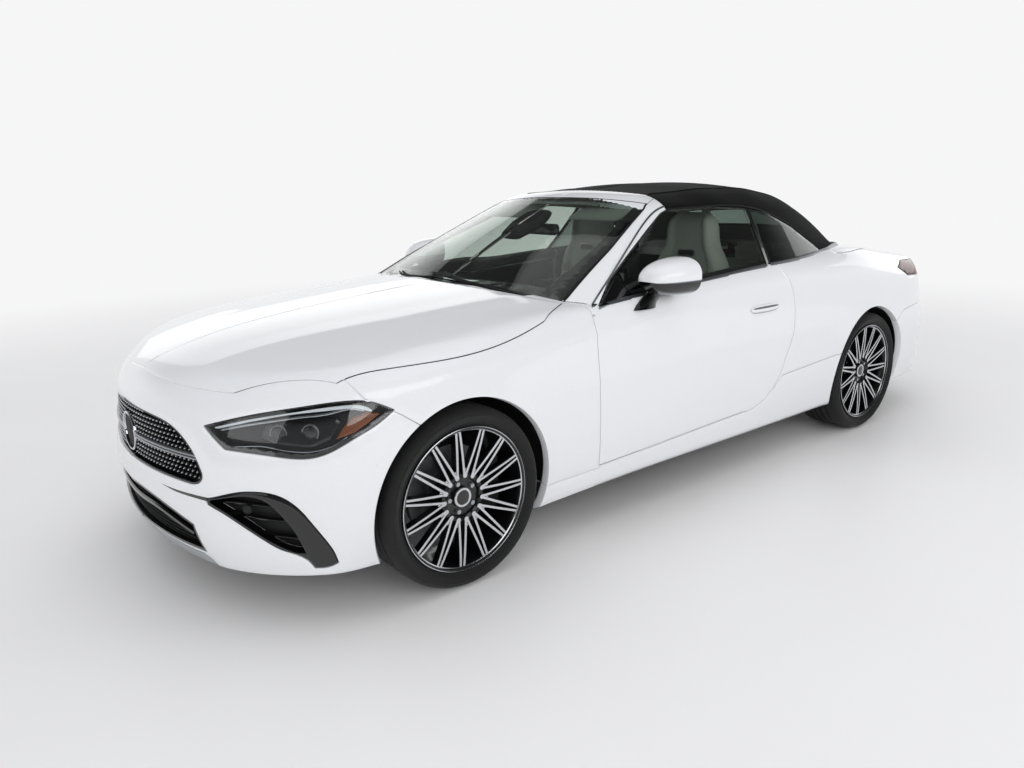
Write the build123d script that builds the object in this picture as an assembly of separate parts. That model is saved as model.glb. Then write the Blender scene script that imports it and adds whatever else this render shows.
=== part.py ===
from build123d import *
import math
import os

# A two-door four-seat convertible with its fabric top up.
# Millimetres. +X forward, +Y to the car's left, +Z up. The origin lies on the ground under the middle of the
# car's bounding box.

# ---- driving dimensions ------------------------------------------------------------------------------------
overall_length = 4850.0
wheelbase = 2865.0
front_overhang = 885.0
front_track = 1585.0
rear_track = 1556.0

tyre_radius = 339.5
front_tyre_width = 245.0
rear_tyre_width = 275.0
tyre_shoulder = 24.0          # the bevel between tread and sidewall
rim_radius = 271.0            # outside of the rim's flange
rim_wall = 12.0
front_rim_width = 222.0
rear_rim_width = 252.0
face_radius = 262.0           # outside of the spokes' ring
face_inset = 8.0              # how far the spokes' faces lie inside the flange
spoke_thickness = 30.0
spoke_count = 15
hub_radius = 76.0
hub_inset = 16.0              # from the spokes' faces in to the hub's end
bore_cap = 12.0               # what closes the hub outside the spindle
spindle_radius = 30.0
window_half = 7.2             # half angles of the wheel's windows, in degrees
pair_half = 1.9
running_clearance = 0.05      # radial, a shaft in its bore
disc_radius = 178.0
disc_thickness = 30.0
disc_inset = 62.0             # from the spokes' backs in to the brake disc

skin = 34.0                   # depth of the panels' pressed sections
insert_depth = 16.0           # how far the plates behind grille and intakes lie inside the surface
bar_depth = 3.0               # how far the grille's bar and disc lie inside it
slat_depth = 6.0              # and the slats and blades
lamp_depth = 9.0              # the lens's hollow, inside the lamp's border
lamp_border = 13.0
projector_radius = 25.0
projector_reach = 200.0         # long enough to pass through the lamp's whole depth
grille_middle_z = 575.0
grille_disc_radius = 72.0
grille_bar_height = 17.0
grille_edge = 7.0
slat_height = 8.0
plate_recess = 9.0
fin_width = 12.0
belt_low_z = 928.0            # nothing of the greenhouse shows below this
glass_foot_z = 932.0           # the door glass ends here, in its slot
fender_inner_y = 560.0
door_inner_y = 745.0          # inner faces of doors, sills and fenders' posts
panel_gap = 5.5               # round everything that opens
seat_gap = 0.3                # between pieces that lie against each other
door_step_y = 850.0           # inside this the door's rear edge steps back to swing clear
door_step = 14.0
arch_lip_radius = 379.0
well_radius = 428.0
well_inner_y = 452.0
glass_thickness = 6.0
glass_slot_gap = 3.0
cowl_depth = 41.0              # under the bonnet's own depth, with room to swing
cowl_thickness = 8.0
cowl_half_width = 700.0
bonnet_swing_gap = 14.0       # between the bonnet's rear edge and the windscreen's foot
fabric_thickness = 24.0       # cloth, padding and headlining together
frame_thickness = 40.0        # windscreen pillars and header

floor_z = 196.0
floor_thickness = 32.0
rail_width = 70.0
rail_height = 90.0
firewall_x = 905.0
bulkhead_x = -1235.0
bulkhead_thickness = 30.0
cabin_wall = 30.0
boot_floor_z = 470.0
boot_half_width = 430.0
boot_rear_x = -2290.0

rail_y = 395.0
rail_z = 440.0
rail_front_x = 2180.0
crossbar_half_width = 620.0
tunnel_half_width = 130.0
tunnel_z = 380.0
rear_seat_x = -600.0
rear_floor_z = 285.0
bulkhead_z = 930.0
firewall_z = 895.0
shelf_z = 880.0
shelf_half_width = 540.0

engine_size = (640.0, 560.0, 470.0)
engine_place = (1475.0, 0.0, 545.0)

subframe_z = 150.0
subframe_height = 45.0
subframe_half_length = 170.0
subframe_half_width = 330.0
arm_width = 44.0
arm_height = 24.0
lower_arm_z = 216.0
post_half_x = 30.0

kingpin_inset = 72.0          # from the front wheel's middle plane in to its steering axis
kingpin_radius = 14.0
steering_wheel_radius = 186.0
steering_grip_radius = 16.0
steering_wheel_place = (440.0, 372.0, 862.0)
steering_stub_radius = 15.0
steering_boss_radius = 40.0
steering_column_tilt = 24.0   # the column's rise towards the driver, in degrees
seat_y = 372.0
seat_width = 480.0
seat_front_x = 200.0          # ahead of all of the seat
screen_back_x = 200.0         # behind all of the windscreen
screen_ahead_x = 1300.0       # and ahead of it
rear_window_ahead_x = -700.0
side_window_y = 300.0         # inside all of the side windows
rear_cut_x = -1990.0          # ahead of all cuts in the rear bumper's face
front_cut_x = 1700.0          # behind all cuts in the front bumper's face
mirror_foot_size = (100.0, 30.0)
mirror_neck_size = (80.0, 60.0)
mirror_foot_shift = (20.0, -60.0)     # of the foot from the housing's middle, along and across
mirror_neck_shift = (-10.0, -30.0)
hinge_pad_x = (75.0, 115.0)           # ahead of the bonnet's hinge
hinge_pad_y = (590.0, 650.0)
hinge_post_x = (-55.0, -25.0)         # from the lid's hinge
hinge_post_y = (380.0, 420.0)
engine_mount_half = 40.0
caliper_depth = 78.0          # toward the axle
caliper_wall = 31.0           # beside the disc
caliper_height = 190.0
disc_gap = 6.0                # between the disc and its caliper
bracket_gap = 9.0
bracket_thickness = 22.0
bracket_height = 80.0
neck_radius = 44.0
carrier_gap = 20.0            # between the rear disc and its hub carrier
carrier_thickness = 50.0
carrier_half = 40.0           # half sizes along the car
low_link_half = 30.0
high_link_half = 22.0
rear_subframe_half = 85.0
rear_subframe_y = 370.0
rear_subframe_z = (190.0, 260.0)
carrier_z = (195.0, 470.0)
low_link_z = (200.0, 240.0)
high_link_z = (335.0, 365.0)
final_drive_z = 300.0
final_drive_size = (160.0, 260.0, 130.0)
bench_width = 880.0
dash_half_width = 700.0
console_half_width = 118.0
console_z = 640.0

mirror_place = (510.0, 915.0, 1045.0)
mirror_size = (190.0, 215.0, 160.0)
mirror_edge = 52.0            # rounding of the housing
mirror_foot_z = 900.0

door_hinge_x = 882.0
bonnet_hinge_x = 893.0
lid_hinge_x = -1762.0

front_axle_x = overall_length / 2 - front_overhang
rear_axle_x = front_axle_x - wheelbase

# ---- the body's outer surface ------------------------------------------------------------------------------
# Cross-sections from nose to tail: the side arc runs from (y_sill, z_sill) over (half_width, z_wide) to (y_up, z_up),
# the shoulder from there to (y_top, z_top), and the top arc over (0, z_crown).
BODY_SECTIONS = (
    # x, half_width, z_wide, y_sill, z_sill, y_up, z_up, y_top, z_top, z_crown
    (2440, 862, 450, 800, 165, 832, 640, 690, 735, 775),
    (2200, 892, 450, 838, 178, 868, 690, 740, 800, 862),
    (1900, 916, 520, 870, 183, 894, 768, 785, 863, 925),
    (1540, 930, 620, 884, 190, 907, 806, 800, 906, 966),
    (1100, 922, 650, 882, 192, 903, 841, 808, 945, 1000),
    (800, 919, 640, 880, 196, 898, 866, 848, 960, 1014),
    (200, 919, 640, 878, 196, 901, 886, 852, 993, 1040),
    (-400, 923, 650, 880, 196, 897, 906, 818, 1029, 1060),
    (-1000, 927, 660, 882, 196, 889, 910, 763, 1046, 1066),
    (-1325, 928.5, 660, 882, 195, 883, 901, 743, 1044, 1061),
    (-1800, 916, 640, 866, 192, 856, 876, 701, 987, 1036),
    (-2200, 886, 600, 831, 196, 813, 846, 666, 937, 985),
    (-2440, 851, 580, 791, 205, 766, 801, 641, 901, 941),
)
SHOULDER_BULGE = 0.10
# Plan outlines from the bumpers' lower edge to the deck. Each end is an arc over (centre, 0) to (at_mid, END_MID_Y),
# and a corner arc over (corner_x, corner_y) to (side_x, side_y).
END_SECTIONS = (
    # z, front: centre, at_mid, corner_x, corner_y, side_x, side_y, rear: the same six
    (110, 2340, 2262, 2080, 790, 1850, 902, -2330, -2260, -2120, 780, -1850, 902),
    (230, 2409, 2319, 2130, 792, 1850, 926, -2380, -2310, -2150, 785, -1850, 916),
    (480, 2423, 2325, 2125, 801, 1850, 936, -2420, -2347, -2180, 785, -1850, 926),
    (640, 2418, 2286, 2085, 801, 1820, 926, -2420, -2342, -2175, 776, -1850, 921),
    (760, 2384, 2229, 2020, 801, 1760, 921, -2405, -2335, -2160, 766, -1850, 916),
    (900, 2200, 2080, 1880, 801, 1650, 921, -2391, -2315, -2130, 741, -1850, 911),
    (1100, 1900, 1800, 1700, 801, 1550, 921, -2300, -2250, -2080, 721, -1850, 901),
)
END_MID_Y = 550.0
SIDE_CLEAR = (1400.0, 1000.0)                             # beyond the body's widest place

# ---- the greenhouse's outer surface ------------------------------------------------------------------------
# Cross-sections: the roof's arc over (0, z_crown) to (y_roof, z_roof), a shoulder arc over (y_mid, z_mid) to
# (y_edge, z_edge), and the side's straight tumblehome down to (y_base, GREENHOUSE_BASE_Z).
ROOF_SECTIONS = (
    # x, z_crown, y_roof, z_roof, y_mid, z_mid, y_edge, z_edge, y_base
    (1120, 1330, 430, 1318, 560, 1292, 632, 1235, 905),
    (560, 1352, 420, 1340, 530, 1318, 600, 1270, 915),
    (100, 1391, 400, 1374, 510, 1352, 575, 1318, 925),
    (-350, 1422, 400, 1398, 520, 1372, 606, 1308, 922),
    (-900, 1391, 380, 1364, 495, 1330, 575, 1268, 898),
    (-1300, 1278, 350, 1246, 450, 1212, 530, 1150, 830),
    (-1760, 1040, 300, 1010, 400, 985, 470, 940, 620),
)
GREENHOUSE_BASE_Z = 880.0
# Side views of what stands inside, x and z.
seat_foot_z = floor_z + floor_thickness + seat_gap
bench_foot_z = rear_floor_z + seat_gap
dash_front_x = firewall_x - seat_gap
SEAT_SIDE = ((120, seat_foot_z), (150, 340), (185, 420), (150, 465), (-200, 430), (-255, 560),
             (-300, 1000), (-310, 1225),
             (-365, 1262), (-430, 1235), (-445, 1000), (-400, 470), (-370, seat_foot_z))
# Front views of half a seat and half the bench, y from its middle and z.
SEAT_FRONT = ((0, 1275), (95, 1275), (138, 1262, 150, 1180), (160, 1095), (218, 1040, 238, 930),
              (240, 200), (0, 200))
BENCH_FRONT = ((0, 965), (110, 968), (122, 1052, 150, 1062), (325, 1062), (356, 1050, 366, 985),
               (425, 955, 440, 880), (440, 250), (0, 250))
BENCH_SIDE = ((-610, bench_foot_z), (-600, 400), (-660, 440), (-985, 400), (-1075, 980), (-1140, 1060),
              (-1200, 1045),
              (-1204, bench_foot_z))
DASH_SIDE = ((dash_front_x, 560), (dash_front_x, 880), (820, 925), (700, 962), (590, 955), (545, 900),
             (560, 760), (640, 590))
# Plan outlines: the windscreen's arc over (screen_x, 0) to its corner, the pillar's face, and the rear end's arcs.
SCREEN_SECTIONS = (
    # z, screen_x, corner_x, corner_y, pillar_x, pillar_y, rear_side_x, rear_mid_x, rear_mid_y, rear_arc_x, rear_arc_y, rear_x
    (880, 1205, 1060, 760, 905, 985, -1500, -1740, 620, -1800, 420, -1880),
    (1000, 978, 852, 714, 690, 900, -1330, -1590, 590, -1680, 420, -1750),
    (1150, 712, 560, 652, 425, 830, -1090, -1360, 560, -1450, 400, -1510),
    (1310, 372, 240, 560, 125, 740, -830, -1080, 520, -1170, 360, -1230),
    (1450, 45, -60, 480, -160, 640, -500, -760, 480, -850, 320, -900),
)
GREENHOUSE_CLEAR_Y = 1000.0
SCREEN_OFFSET_RATIO = 2.1     # horizontal distance for a given depth behind the raked screen

# ---- outlines: a pair is a straight edge to that point, four numbers are an arc over one point to another -----
DOOR_OUTLINE = (              # side view, x and z
    (872, 985), (889, 900), (889, 760, 868, 300), (585, 306), (-120, 332), (-325, 388, -418, 500), (-440, 560),
    (-512, 810, -398, 1085), (-398, 1120), (872, 1120),
)
SILL_TOP = ((2000, 100), (2000, 290), (868, 290), (860, 297), (585, 303), (-120, 329), (-330, 389, -428, 470),
            (-921, 499), (-1300, 499), (-1300, 100))      # side view
BUMPER_SEAM = ((1722, 655), (1800, 712), (1905, 775), (1985, 905), (2700, 905), (2700, 100), (1500, 100),
               (1500, 655))
REAR_SEAM = ((-1590, 600), (-1700, 660), (-2140, 690), (-2700, 690), (-2700, 100), (-1500, 100), (-1500, 600))
BONNET_OUTLINE = (            # plan view, x and y, left half from nose to screen
    (2336, 0), (2303, 330, 2208, 547), (1965, 797), (1540, 872, 1106, 837), (925, 742), (1006, 380, 1033, 0),
)
BONNET_LOW_Z = 700.0
# Plan view.
LID_OUTLINE = ((-1762, 0), (-1766, 240, -1778, 430), (-1810, 570, -1960, 620), (-2600, 640),
               (-2615, 320, -2620, 0))
LID_LOW_Z = 655.0
# Plan view, left half.
TONNEAU_OUTLINE = ((-1100, 0), (-1100, 792), (-1480, 735, -1792, 590), (-1800, 400), (-1800, 0))
# Front view, y and z.
GRILLE_OUTLINE = ((0, 702), (250, 690, 400, 645), (515, 552), (512, 505), (470, 482), (0, 482))
INTAKE_OUTLINE = ((0, 392), (240, 388, 470, 345), (502, 248), (0, 240))
CURTAIN_OUTLINE = ((545, 455), (650, 492), (770, 482), (845, 330), (858, 235), (800, 232), (760, 330),
                   (650, 400))
# Lamps, seen along a level line at LAMP_TURN from straight ahead (or behind): points on the surface.
LAMP_TURN = 45.0
HEADLAMP_POINTS = ((2300, 495, 684), (2274, 592, 618), (2170, 733, 607), (2056, 829, 605), (1985, 863, 640),
                   (1824, 904, 730), (1915, 859, 770), (2068, 765, 752), (2238, 592, 708))
TAIL_LAMP_POINTS = ((-1730, 850, 905), (-1850, 800, 935), (-2392, 480, 905), (-2425, 480, 812),
                    (-2300, 660, 806),
                    (-1960, 850, 840), (-1834, 868, 850))
INTAKE_SLATS = (300.0, 345.0)                              # heights
CURTAIN_BLADES = (                                         # front views of the blades, y and z
    ((560, 452), (690, 470), (770, 455), (770, 447), (690, 461), (560, 443)),
    ((600, 425), (720, 428), (800, 395), (800, 386), (720, 418), (600, 416)),
)
PROJECTORS = ((2170, 690, 662), (2085, 775, 672))          # middles of the lamps' projectors
TAIL_LAMP_BARS = (842.0, 872.0)                            # heights
# From behind, y and z.
PLATE_OUTLINE = ((0, 640), (270, 640), (282, 628), (262, 520), (248, 508), (0, 508))
DIFFUSER_OUTLINE = ((0, 420), (430, 410), (560, 372), (650, 300), (690, 215), (0, 215))
DIFFUSER_FINS = (-300.0, -100.0, 100.0, 300.0)             # places across
EXHAUST_OUTLINE = ((430, 330), (560, 330), (580, 322, 584, 305), (575, 262), (430, 262))
EXHAUST_WALL = 9.0
# Front view.
SCREEN_OUTLINE = ((0, 900), (745, 900), (722, 984), (650, 1152), (560, 1309), (535, 1332),
                  (300, 1352, 0, 1358))
# Side view, ahead of it the frame.
HEADER_SEAM = ((122, 1280), (95, 1480), (1400, 1480), (1400, 900), (700, 900))
DOOR_GLASS = ((838, glass_foot_z), (838, 948), (690, 1046), (520, 1126), (300, 1228), (165, 1290),
              (125, 1301), (-240, 1303),
              (-470, 1290), (-440, 1150, -384, 1010), (-384, glass_foot_z))   # side view
QUARTER_GLASS = ((-392, 1000), (-448, 1150, -478, 1288), (-640, 1262), (-820, 1185), (-1015, 1050),
                 (-1015, 1000))
REAR_WINDOW = ((0, 1300), (360, 1286), (455, 1160), (430, 1140), (0, 1150))   # seen from behind, y and z


def outline(points):
    """A closed face in the plane's own axes."""
    with BuildSketch() as sketch:
        with BuildLine():
            start = points[0]
            for point in points[1:]:
                if len(point) == 4:
                    ThreePointArc(start, point[:2], point[2:])
                    start = point[2:]
                else:
                    Line(start, point)
                    start = point
            if start != points[0]:
                Line(start, points[0])
        make_face()
    face = sketch.sketch.face()
    return face if face.normal_at().Z > 0 else -face


def mirror_points(points, axis):
    """The half outline that starts and ends on the middle line, continued by its reflection."""
    flip = (lambda a, b: (-a, b)) if axis == "first" else (lambda a, b: (a, -b))
    back = []
    corners = [(p[-2], p[-1]) for p in points]
    for index in range(len(points) - 1, 0, -1):
        before = flip(*corners[index - 1])
        point = points[index]
        back.append((*flip(*point[:2]), *before) if len(point) == 4 else before)
    return (*points, *back)


def side_prism(face, y_low, y_high):
    plane = Plane(origin=(0, y_high, 0), x_dir=(1, 0, 0), z_dir=(0, -1, 0))
    return extrude(plane * face, amount=y_high - y_low)


def plan_prism(face, z_low, z_high):
    return extrude(Plane.XY.offset(z_low) * face, amount=z_high - z_low)


def front_prism(face, x_low, x_high):
    plane = Plane(origin=(x_low, 0, 0), x_dir=(0, 1, 0), z_dir=(1, 0, 0))
    return extrude(plane * face, amount=x_high - x_low)


def slanted_prism(points, turn, margin, reach=1600.0):
    """A prism along the level direction at turn degrees from +X, through the points, widened by margin."""
    ahead = (math.cos(math.radians(turn)), math.sin(math.radians(turn)))
    flat = [(-x * ahead[1] + y * ahead[0], z) for x, y, z in points]
    face = offset(outline(flat), amount=margin, kind=Kind.INTERSECTION) if margin else outline(flat)
    start = (ahead[0] * 600, ahead[1] * 600, 0)
    plane = Plane(origin=start, x_dir=(-ahead[1], ahead[0], 0), z_dir=(*ahead, 0))
    return extrude(plane * face, amount=reach + 1000)


def block(x_low, x_high, y_low, y_high, z_low, z_high):
    size = (x_high - x_low, y_high - y_low, z_high - z_low)
    return Pos((x_low + x_high) / 2, (y_low + y_high) / 2, (z_low + z_high) / 2) * Box(*size)


def rod(start, end, radius):
    """A round bar from one point to another."""
    ahead = Vector(*end) - Vector(*start)
    plane = Plane(origin=start, z_dir=ahead)
    return plane * Cylinder(radius, ahead.length, align=(Align.CENTER, Align.CENTER, Align.MIN))


def both_sides(solid):
    return Compound(children=[*solid.solids(), *mirror(solid, about=Plane.XZ).solids()])


def shrink(face, amount):
    return offset(face, amount=-amount, kind=Kind.INTERSECTION)


# ---- surfaces ----------------------------------------------------------------------------------------------
def body_section(row, inset):
    x, half_width, z_wide, y_sill, z_sill, y_up, z_up, y_top, z_top, z_crown = row
    half_width, y_sill, y_up, y_top = (v - inset for v in (half_width, y_sill, y_up, y_top))
    z_sill, z_up, z_top, z_crown = z_sill + inset, z_up - inset / 2, z_top - inset, z_crown - inset
    y_mid = (y_up + y_top) / 2 + (z_top - z_up) * SHOULDER_BULGE
    z_mid = (z_up + z_top) / 2 + (y_up - y_top) * SHOULDER_BULGE
    with BuildSketch(Plane(origin=(x, 0, 0), x_dir=(0, 1, 0), z_dir=(1, 0, 0))) as sketch:
        with BuildLine():
            Line((-y_sill, z_sill), (y_sill, z_sill))
            for side in (1, -1):
                ThreePointArc((side * y_sill, z_sill), (side * half_width, z_wide), (side * y_up, z_up))
                ThreePointArc((side * y_up, z_up), (side * y_mid, z_mid), (side * y_top, z_top))
            ThreePointArc((y_top, z_top), (0, z_crown), (-y_top, z_top))
        make_face()
    return sketch.sketch


def end_section(row, inset):
    z, *ends = row
    with BuildSketch(Plane.XY.offset(z)) as sketch:
        with BuildLine():
            for sign, (centre, at_mid, corner_x, corner_y, side_x, side_y) in ((1, ends[:6]), (-1, ends[6:])):
                centre, at_mid, corner_x = centre - sign * inset, at_mid - sign * inset, corner_x - sign * inset
                corner_y, side_y = corner_y - inset, side_y - inset
                ThreePointArc((at_mid, -END_MID_Y), (centre, 0), (at_mid, END_MID_Y))
                for side in (1, -1):
                    ThreePointArc((at_mid, side * END_MID_Y), (corner_x, side * corner_y),
                    (side_x, side * side_y))
                    Line((side_x, side * side_y), (sign * SIDE_CLEAR[0], side * SIDE_CLEAR[1]))
            for side in (1, -1):
                Line((-SIDE_CLEAR[0], side * SIDE_CLEAR[1]), (SIDE_CLEAR[0], side * SIDE_CLEAR[1]))
        make_face()
    return sketch.sketch


def body_solid(inset):
    along = loft([body_section(row, inset) for row in BODY_SECTIONS])
    upward = loft([end_section(row, inset) for row in END_SECTIONS])
    return along & upward


def roof_section(row, inset):
    x, z_crown, y_roof, z_roof, y_mid, z_mid, y_edge, z_edge, y_base = row
    z_crown, z_roof, z_mid, z_edge = z_crown - inset, z_roof - inset, z_mid - inset * 0.9, z_edge - inset * 0.6
    y_mid, y_edge, y_base = y_mid - inset * 0.6, y_edge - inset * 0.9, y_base - inset * 1.3
    with BuildSketch(Plane(origin=(x, 0, 0), x_dir=(0, 1, 0), z_dir=(1, 0, 0))) as sketch:
        with BuildLine():
            Line((-y_base, GREENHOUSE_BASE_Z), (y_base, GREENHOUSE_BASE_Z))
            for side in (1, -1):
                Line((side * y_base, GREENHOUSE_BASE_Z), (side * y_edge, z_edge))
                ThreePointArc((side * y_edge, z_edge), (side * y_mid, z_mid), (side * y_roof, z_roof))
            ThreePointArc((y_roof, z_roof), (0, z_crown), (-y_roof, z_roof))
        make_face()
    return sketch.sketch


def screen_section(row, inset):
    z, screen_x, corner_x, corner_y, pillar_x, pillar_y, rear_side_x, mid_x, mid_y, arc_x, arc_y, rear_x = row
    raked = inset * SCREEN_OFFSET_RATIO
    screen_x, corner_x, pillar_x = screen_x - raked, corner_x - raked, pillar_x - raked
    rear_side_x, mid_x, arc_x, rear_x = (v + raked for v in (rear_side_x, mid_x, arc_x, rear_x))
    with BuildSketch(Plane.XY.offset(z)) as sketch:
        with BuildLine():
            ThreePointArc((corner_x, -corner_y), (screen_x, 0), (corner_x, corner_y))
            ThreePointArc((arc_x, -arc_y), (rear_x, 0), (arc_x, arc_y))
            for side in (1, -1):
                Line((corner_x, side * corner_y), (pillar_x, side * pillar_y))
                Line((pillar_x, side * pillar_y), (pillar_x - 60, side * GREENHOUSE_CLEAR_Y))
                Line((pillar_x - 60, side * GREENHOUSE_CLEAR_Y), (rear_side_x, side * GREENHOUSE_CLEAR_Y))
                ThreePointArc((rear_side_x, side * GREENHOUSE_CLEAR_Y), (mid_x, side * mid_y),
                (arc_x, side * arc_y))
        make_face()
    return sketch.sketch


def greenhouse_solid(inset):
    along = loft([roof_section(row, inset) for row in ROOF_SECTIONS])
    upward = loft([screen_section(row, inset) for row in SCREEN_SECTIONS])
    return along & upward


# ---- shared solids -----------------------------------------------------------------------------------------
body_outer = body_solid(0)
body_recess = body_solid(insert_depth)
body_inner = body_solid(skin)
bar_shape = body_solid(bar_depth)
slat_shape = body_solid(slat_depth)
lamp_floor = body_solid(lamp_depth)
cowl_top = body_solid(cowl_depth)
body_skin = body_outer - body_inner
greenhouse_outer = greenhouse_solid(0)

FAR = 3000.0
above_everything = 2000.0
door_face = outline(DOOR_OUTLINE)
door_opening = side_prism(door_face, door_inner_y - cabin_wall, FAR)
bonnet_face = outline(mirror_points(BONNET_OUTLINE, "second"))
bonnet_opening = plan_prism(bonnet_face, BONNET_LOW_Z, above_everything)
lid_face = outline(mirror_points(LID_OUTLINE, "second"))
lid_opening = plan_prism(lid_face, LID_LOW_Z, above_everything)


def wheel_space(axle_x, radius, y_low, y_high):
    plane = Plane(origin=(axle_x, y_low, tyre_radius), x_dir=(1, 0, 0), z_dir=(0, 1, 0))
    return plane * Cylinder(radius, y_high - y_low, align=(Align.CENTER, Align.CENTER, Align.MIN))


arches = [wheel_space(x, arch_lip_radius, well_inner_y, FAR) for x in (front_axle_x, rear_axle_x)]
wells = [wheel_space(x, well_radius, well_inner_y, 900.0) for x in (front_axle_x, rear_axle_x)]
wheel_rooms = both_sides(Compound(children=arches)) + both_sides(Compound(children=wells))
left_half = block(-FAR, FAR, 0, FAR, 0, above_everything)
cabin_space = greenhouse_solid(fabric_thickness)
tonneau_face = outline(mirror_points(TONNEAU_OUTLINE, "second"))


# ---- pieces of the body ------------------------------------------------------------------------------------
def lamp(points, turn):
    """A lamp: the depth of the panels inside its outline on the body's surface, hollowed behind its border."""
    body = (body_skin & slanted_prism(points, turn, -seat_gap / 2) & left_half) - bonnet_opening - lid_opening
    return body - ((body_outer - lamp_floor) & slanted_prism(points, turn, -lamp_border))


def projector(point):
    """A round lens unit that looks out level from its lamp's floor."""
    ahead = Vector(math.cos(math.radians(LAMP_TURN)), math.sin(math.radians(LAMP_TURN)), 0)
    unit = rod(Vector(*point) - ahead * projector_reach, Vector(*point) + ahead * projector_reach, projector_radius)
    return unit & (bar_shape - body_inner)


def front_bumper_region(margin):
    return side_prism(offset(outline(BUMPER_SEAM), amount=margin, kind=Kind.INTERSECTION), -FAR, FAR)


def rear_bumper_region(margin):
    return side_prism(offset(outline(REAR_SEAM), amount=margin, kind=Kind.INTERSECTION), -FAR, FAR)


def sill_region(margin):
    face = offset(outline(SILL_TOP), amount=margin, kind=Kind.INTERSECTION)
    return side_prism(face, door_inner_y, FAR)


def insert_prism(points, margin):
    face = outline(mirror_points(points, "first"))
    return front_prism(offset(face, amount=margin, kind=Kind.INTERSECTION), front_cut_x, FAR)


def curtain_prism(margin):
    face = offset(outline(CURTAIN_OUTLINE), amount=margin, kind=Kind.INTERSECTION)
    return both_sides(front_prism(face, 1985.0, FAR))


def make_lamps():
    head = lamp(HEADLAMP_POINTS, LAMP_TURN)
    for point in PROJECTORS:
        head += projector(point)
    tail = lamp(TAIL_LAMP_POINTS, 180 - LAMP_TURN)
    hollow = slanted_prism(TAIL_LAMP_POINTS, 180 - LAMP_TURN, -lamp_border / 2) & left_half
    for z in TAIL_LAMP_BARS:
        bar = block(-FAR, 0, 0, FAR, z - slat_height / 2, z + slat_height / 2)
        tail += ((slat_shape - body_inner) & hollow & bar) - lid_opening
    return both_sides(head), both_sides(tail)


lamp_holes = both_sides(slanted_prism(HEADLAMP_POINTS, LAMP_TURN, seat_gap / 2) & left_half
                        & block(1500, FAR, 0, FAR, 0, 1000))
tail_holes = both_sides(slanted_prism(TAIL_LAMP_POINTS, 180 - LAMP_TURN, seat_gap / 2) & left_half
                        & block(-FAR, -1500, 0, FAR, 0, 1200))


def make_front_bumper():
    bumper = body_skin & front_bumper_region(-seat_gap / 2)
    bumper -= bonnet_opening
    bumper -= wheel_rooms
    bumper -= lamp_holes
    bumper -= insert_prism(GRILLE_OUTLINE, 0)
    bumper -= insert_prism(INTAKE_OUTLINE, 0)
    bumper -= block(0, 1980, -well_inner_y, well_inner_y, 0, BONNET_LOW_Z)
    return bumper - curtain_prism(0)


def make_grille():
    """A plate set back from the bumper's face, with an edge, a bar and a disc in its middle."""
    hole = insert_prism(GRILLE_OUTLINE, -seat_gap)
    opening = outline(mirror_points(GRILLE_OUTLINE, "first"))
    pockets = offset(opening, amount=-grille_edge, kind=Kind.INTERSECTION)
    pockets -= Pos(0, grille_middle_z) * Rectangle(1100, grille_bar_height)
    pockets -= Pos(0, grille_middle_z) * Circle(grille_disc_radius)
    grille = (bar_shape - body_inner) & hole
    for face in pockets.faces():
        grille -= (body_outer - body_recess) & front_prism(face, front_cut_x, FAR)
    return grille


def make_inserts():
    """The plates of the lower intake and of the air curtains, with their slats."""
    intake = insert_prism(INTAKE_OUTLINE, -seat_gap)
    curtains = curtain_prism(-seat_gap)
    half = slat_height / 2
    slats = [block(front_cut_x, FAR, -FAR, FAR, z - half, z + half) for z in INTAKE_SLATS]
    blades = both_sides(Compound(children=[front_prism(outline(b), front_cut_x, FAR) for b in CURTAIN_BLADES]))
    shell = slat_shape - body_inner
    plates = (body_recess - body_inner) & (intake + curtains)
    for slat in slats:
        plates += shell & intake & slat
    return plates + (shell & curtains & blades)


def make_fenders():
    fender = body_skin & block(door_hinge_x - 60, 2000, 0, FAR, 100, 1100)
    fender -= door_opening
    fender -= front_bumper_region(seat_gap / 2)
    fender -= sill_region(seat_gap / 2)
    fender -= bonnet_opening
    fender -= wheel_rooms
    fender -= lamp_holes
    fender -= greenhouse_outer
    fender -= block(0, FAR, 0, door_inner_y, 0, BONNET_LOW_Z)
    return both_sides(fender & block(0, FAR, fender_inner_y, FAR, 200, 1200))


def make_sills():
    sill = body_outer & sill_region(-seat_gap / 2)
    sill -= wheel_rooms
    return both_sides(sill & left_half & block(-1200, 1400, 0, FAR, 0, 520))


def deck_without_sides():
    """The skin round the fabric top, behind the doors, with the boot lid's opening cut."""
    deck = body_skin & block(-FAR, -300, 0, FAR, boot_floor_z, 1100)
    for cutter in (door_opening, sill_region(seat_gap / 2), rear_bumper_region(seat_gap / 2), lid_opening,
                   wheel_rooms, tail_holes, cabin_space):
        deck -= cutter
    return deck


def make_quarters(deck):
    return both_sides(deck - plan_prism(offset(tonneau_face, amount=seat_gap / 2), BONNET_LOW_Z, above_everything))


def make_tonneau(deck):
    """The cover over the folding top's well: it meets the boot lid behind and the quarters at each side."""
    half = deck & plan_prism(shrink(tonneau_face, seat_gap / 2), BONNET_LOW_Z, above_everything)
    return half + mirror(half, about=Plane.XZ)


def rear_prism(points):
    return front_prism(outline(mirror_points(points, "first")), -FAR, rear_cut_x)


def side_of_rear_prism(points, margin=0):
    return front_prism(offset(outline(points), amount=margin, kind=Kind.INTERSECTION), -FAR, rear_cut_x)


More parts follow.
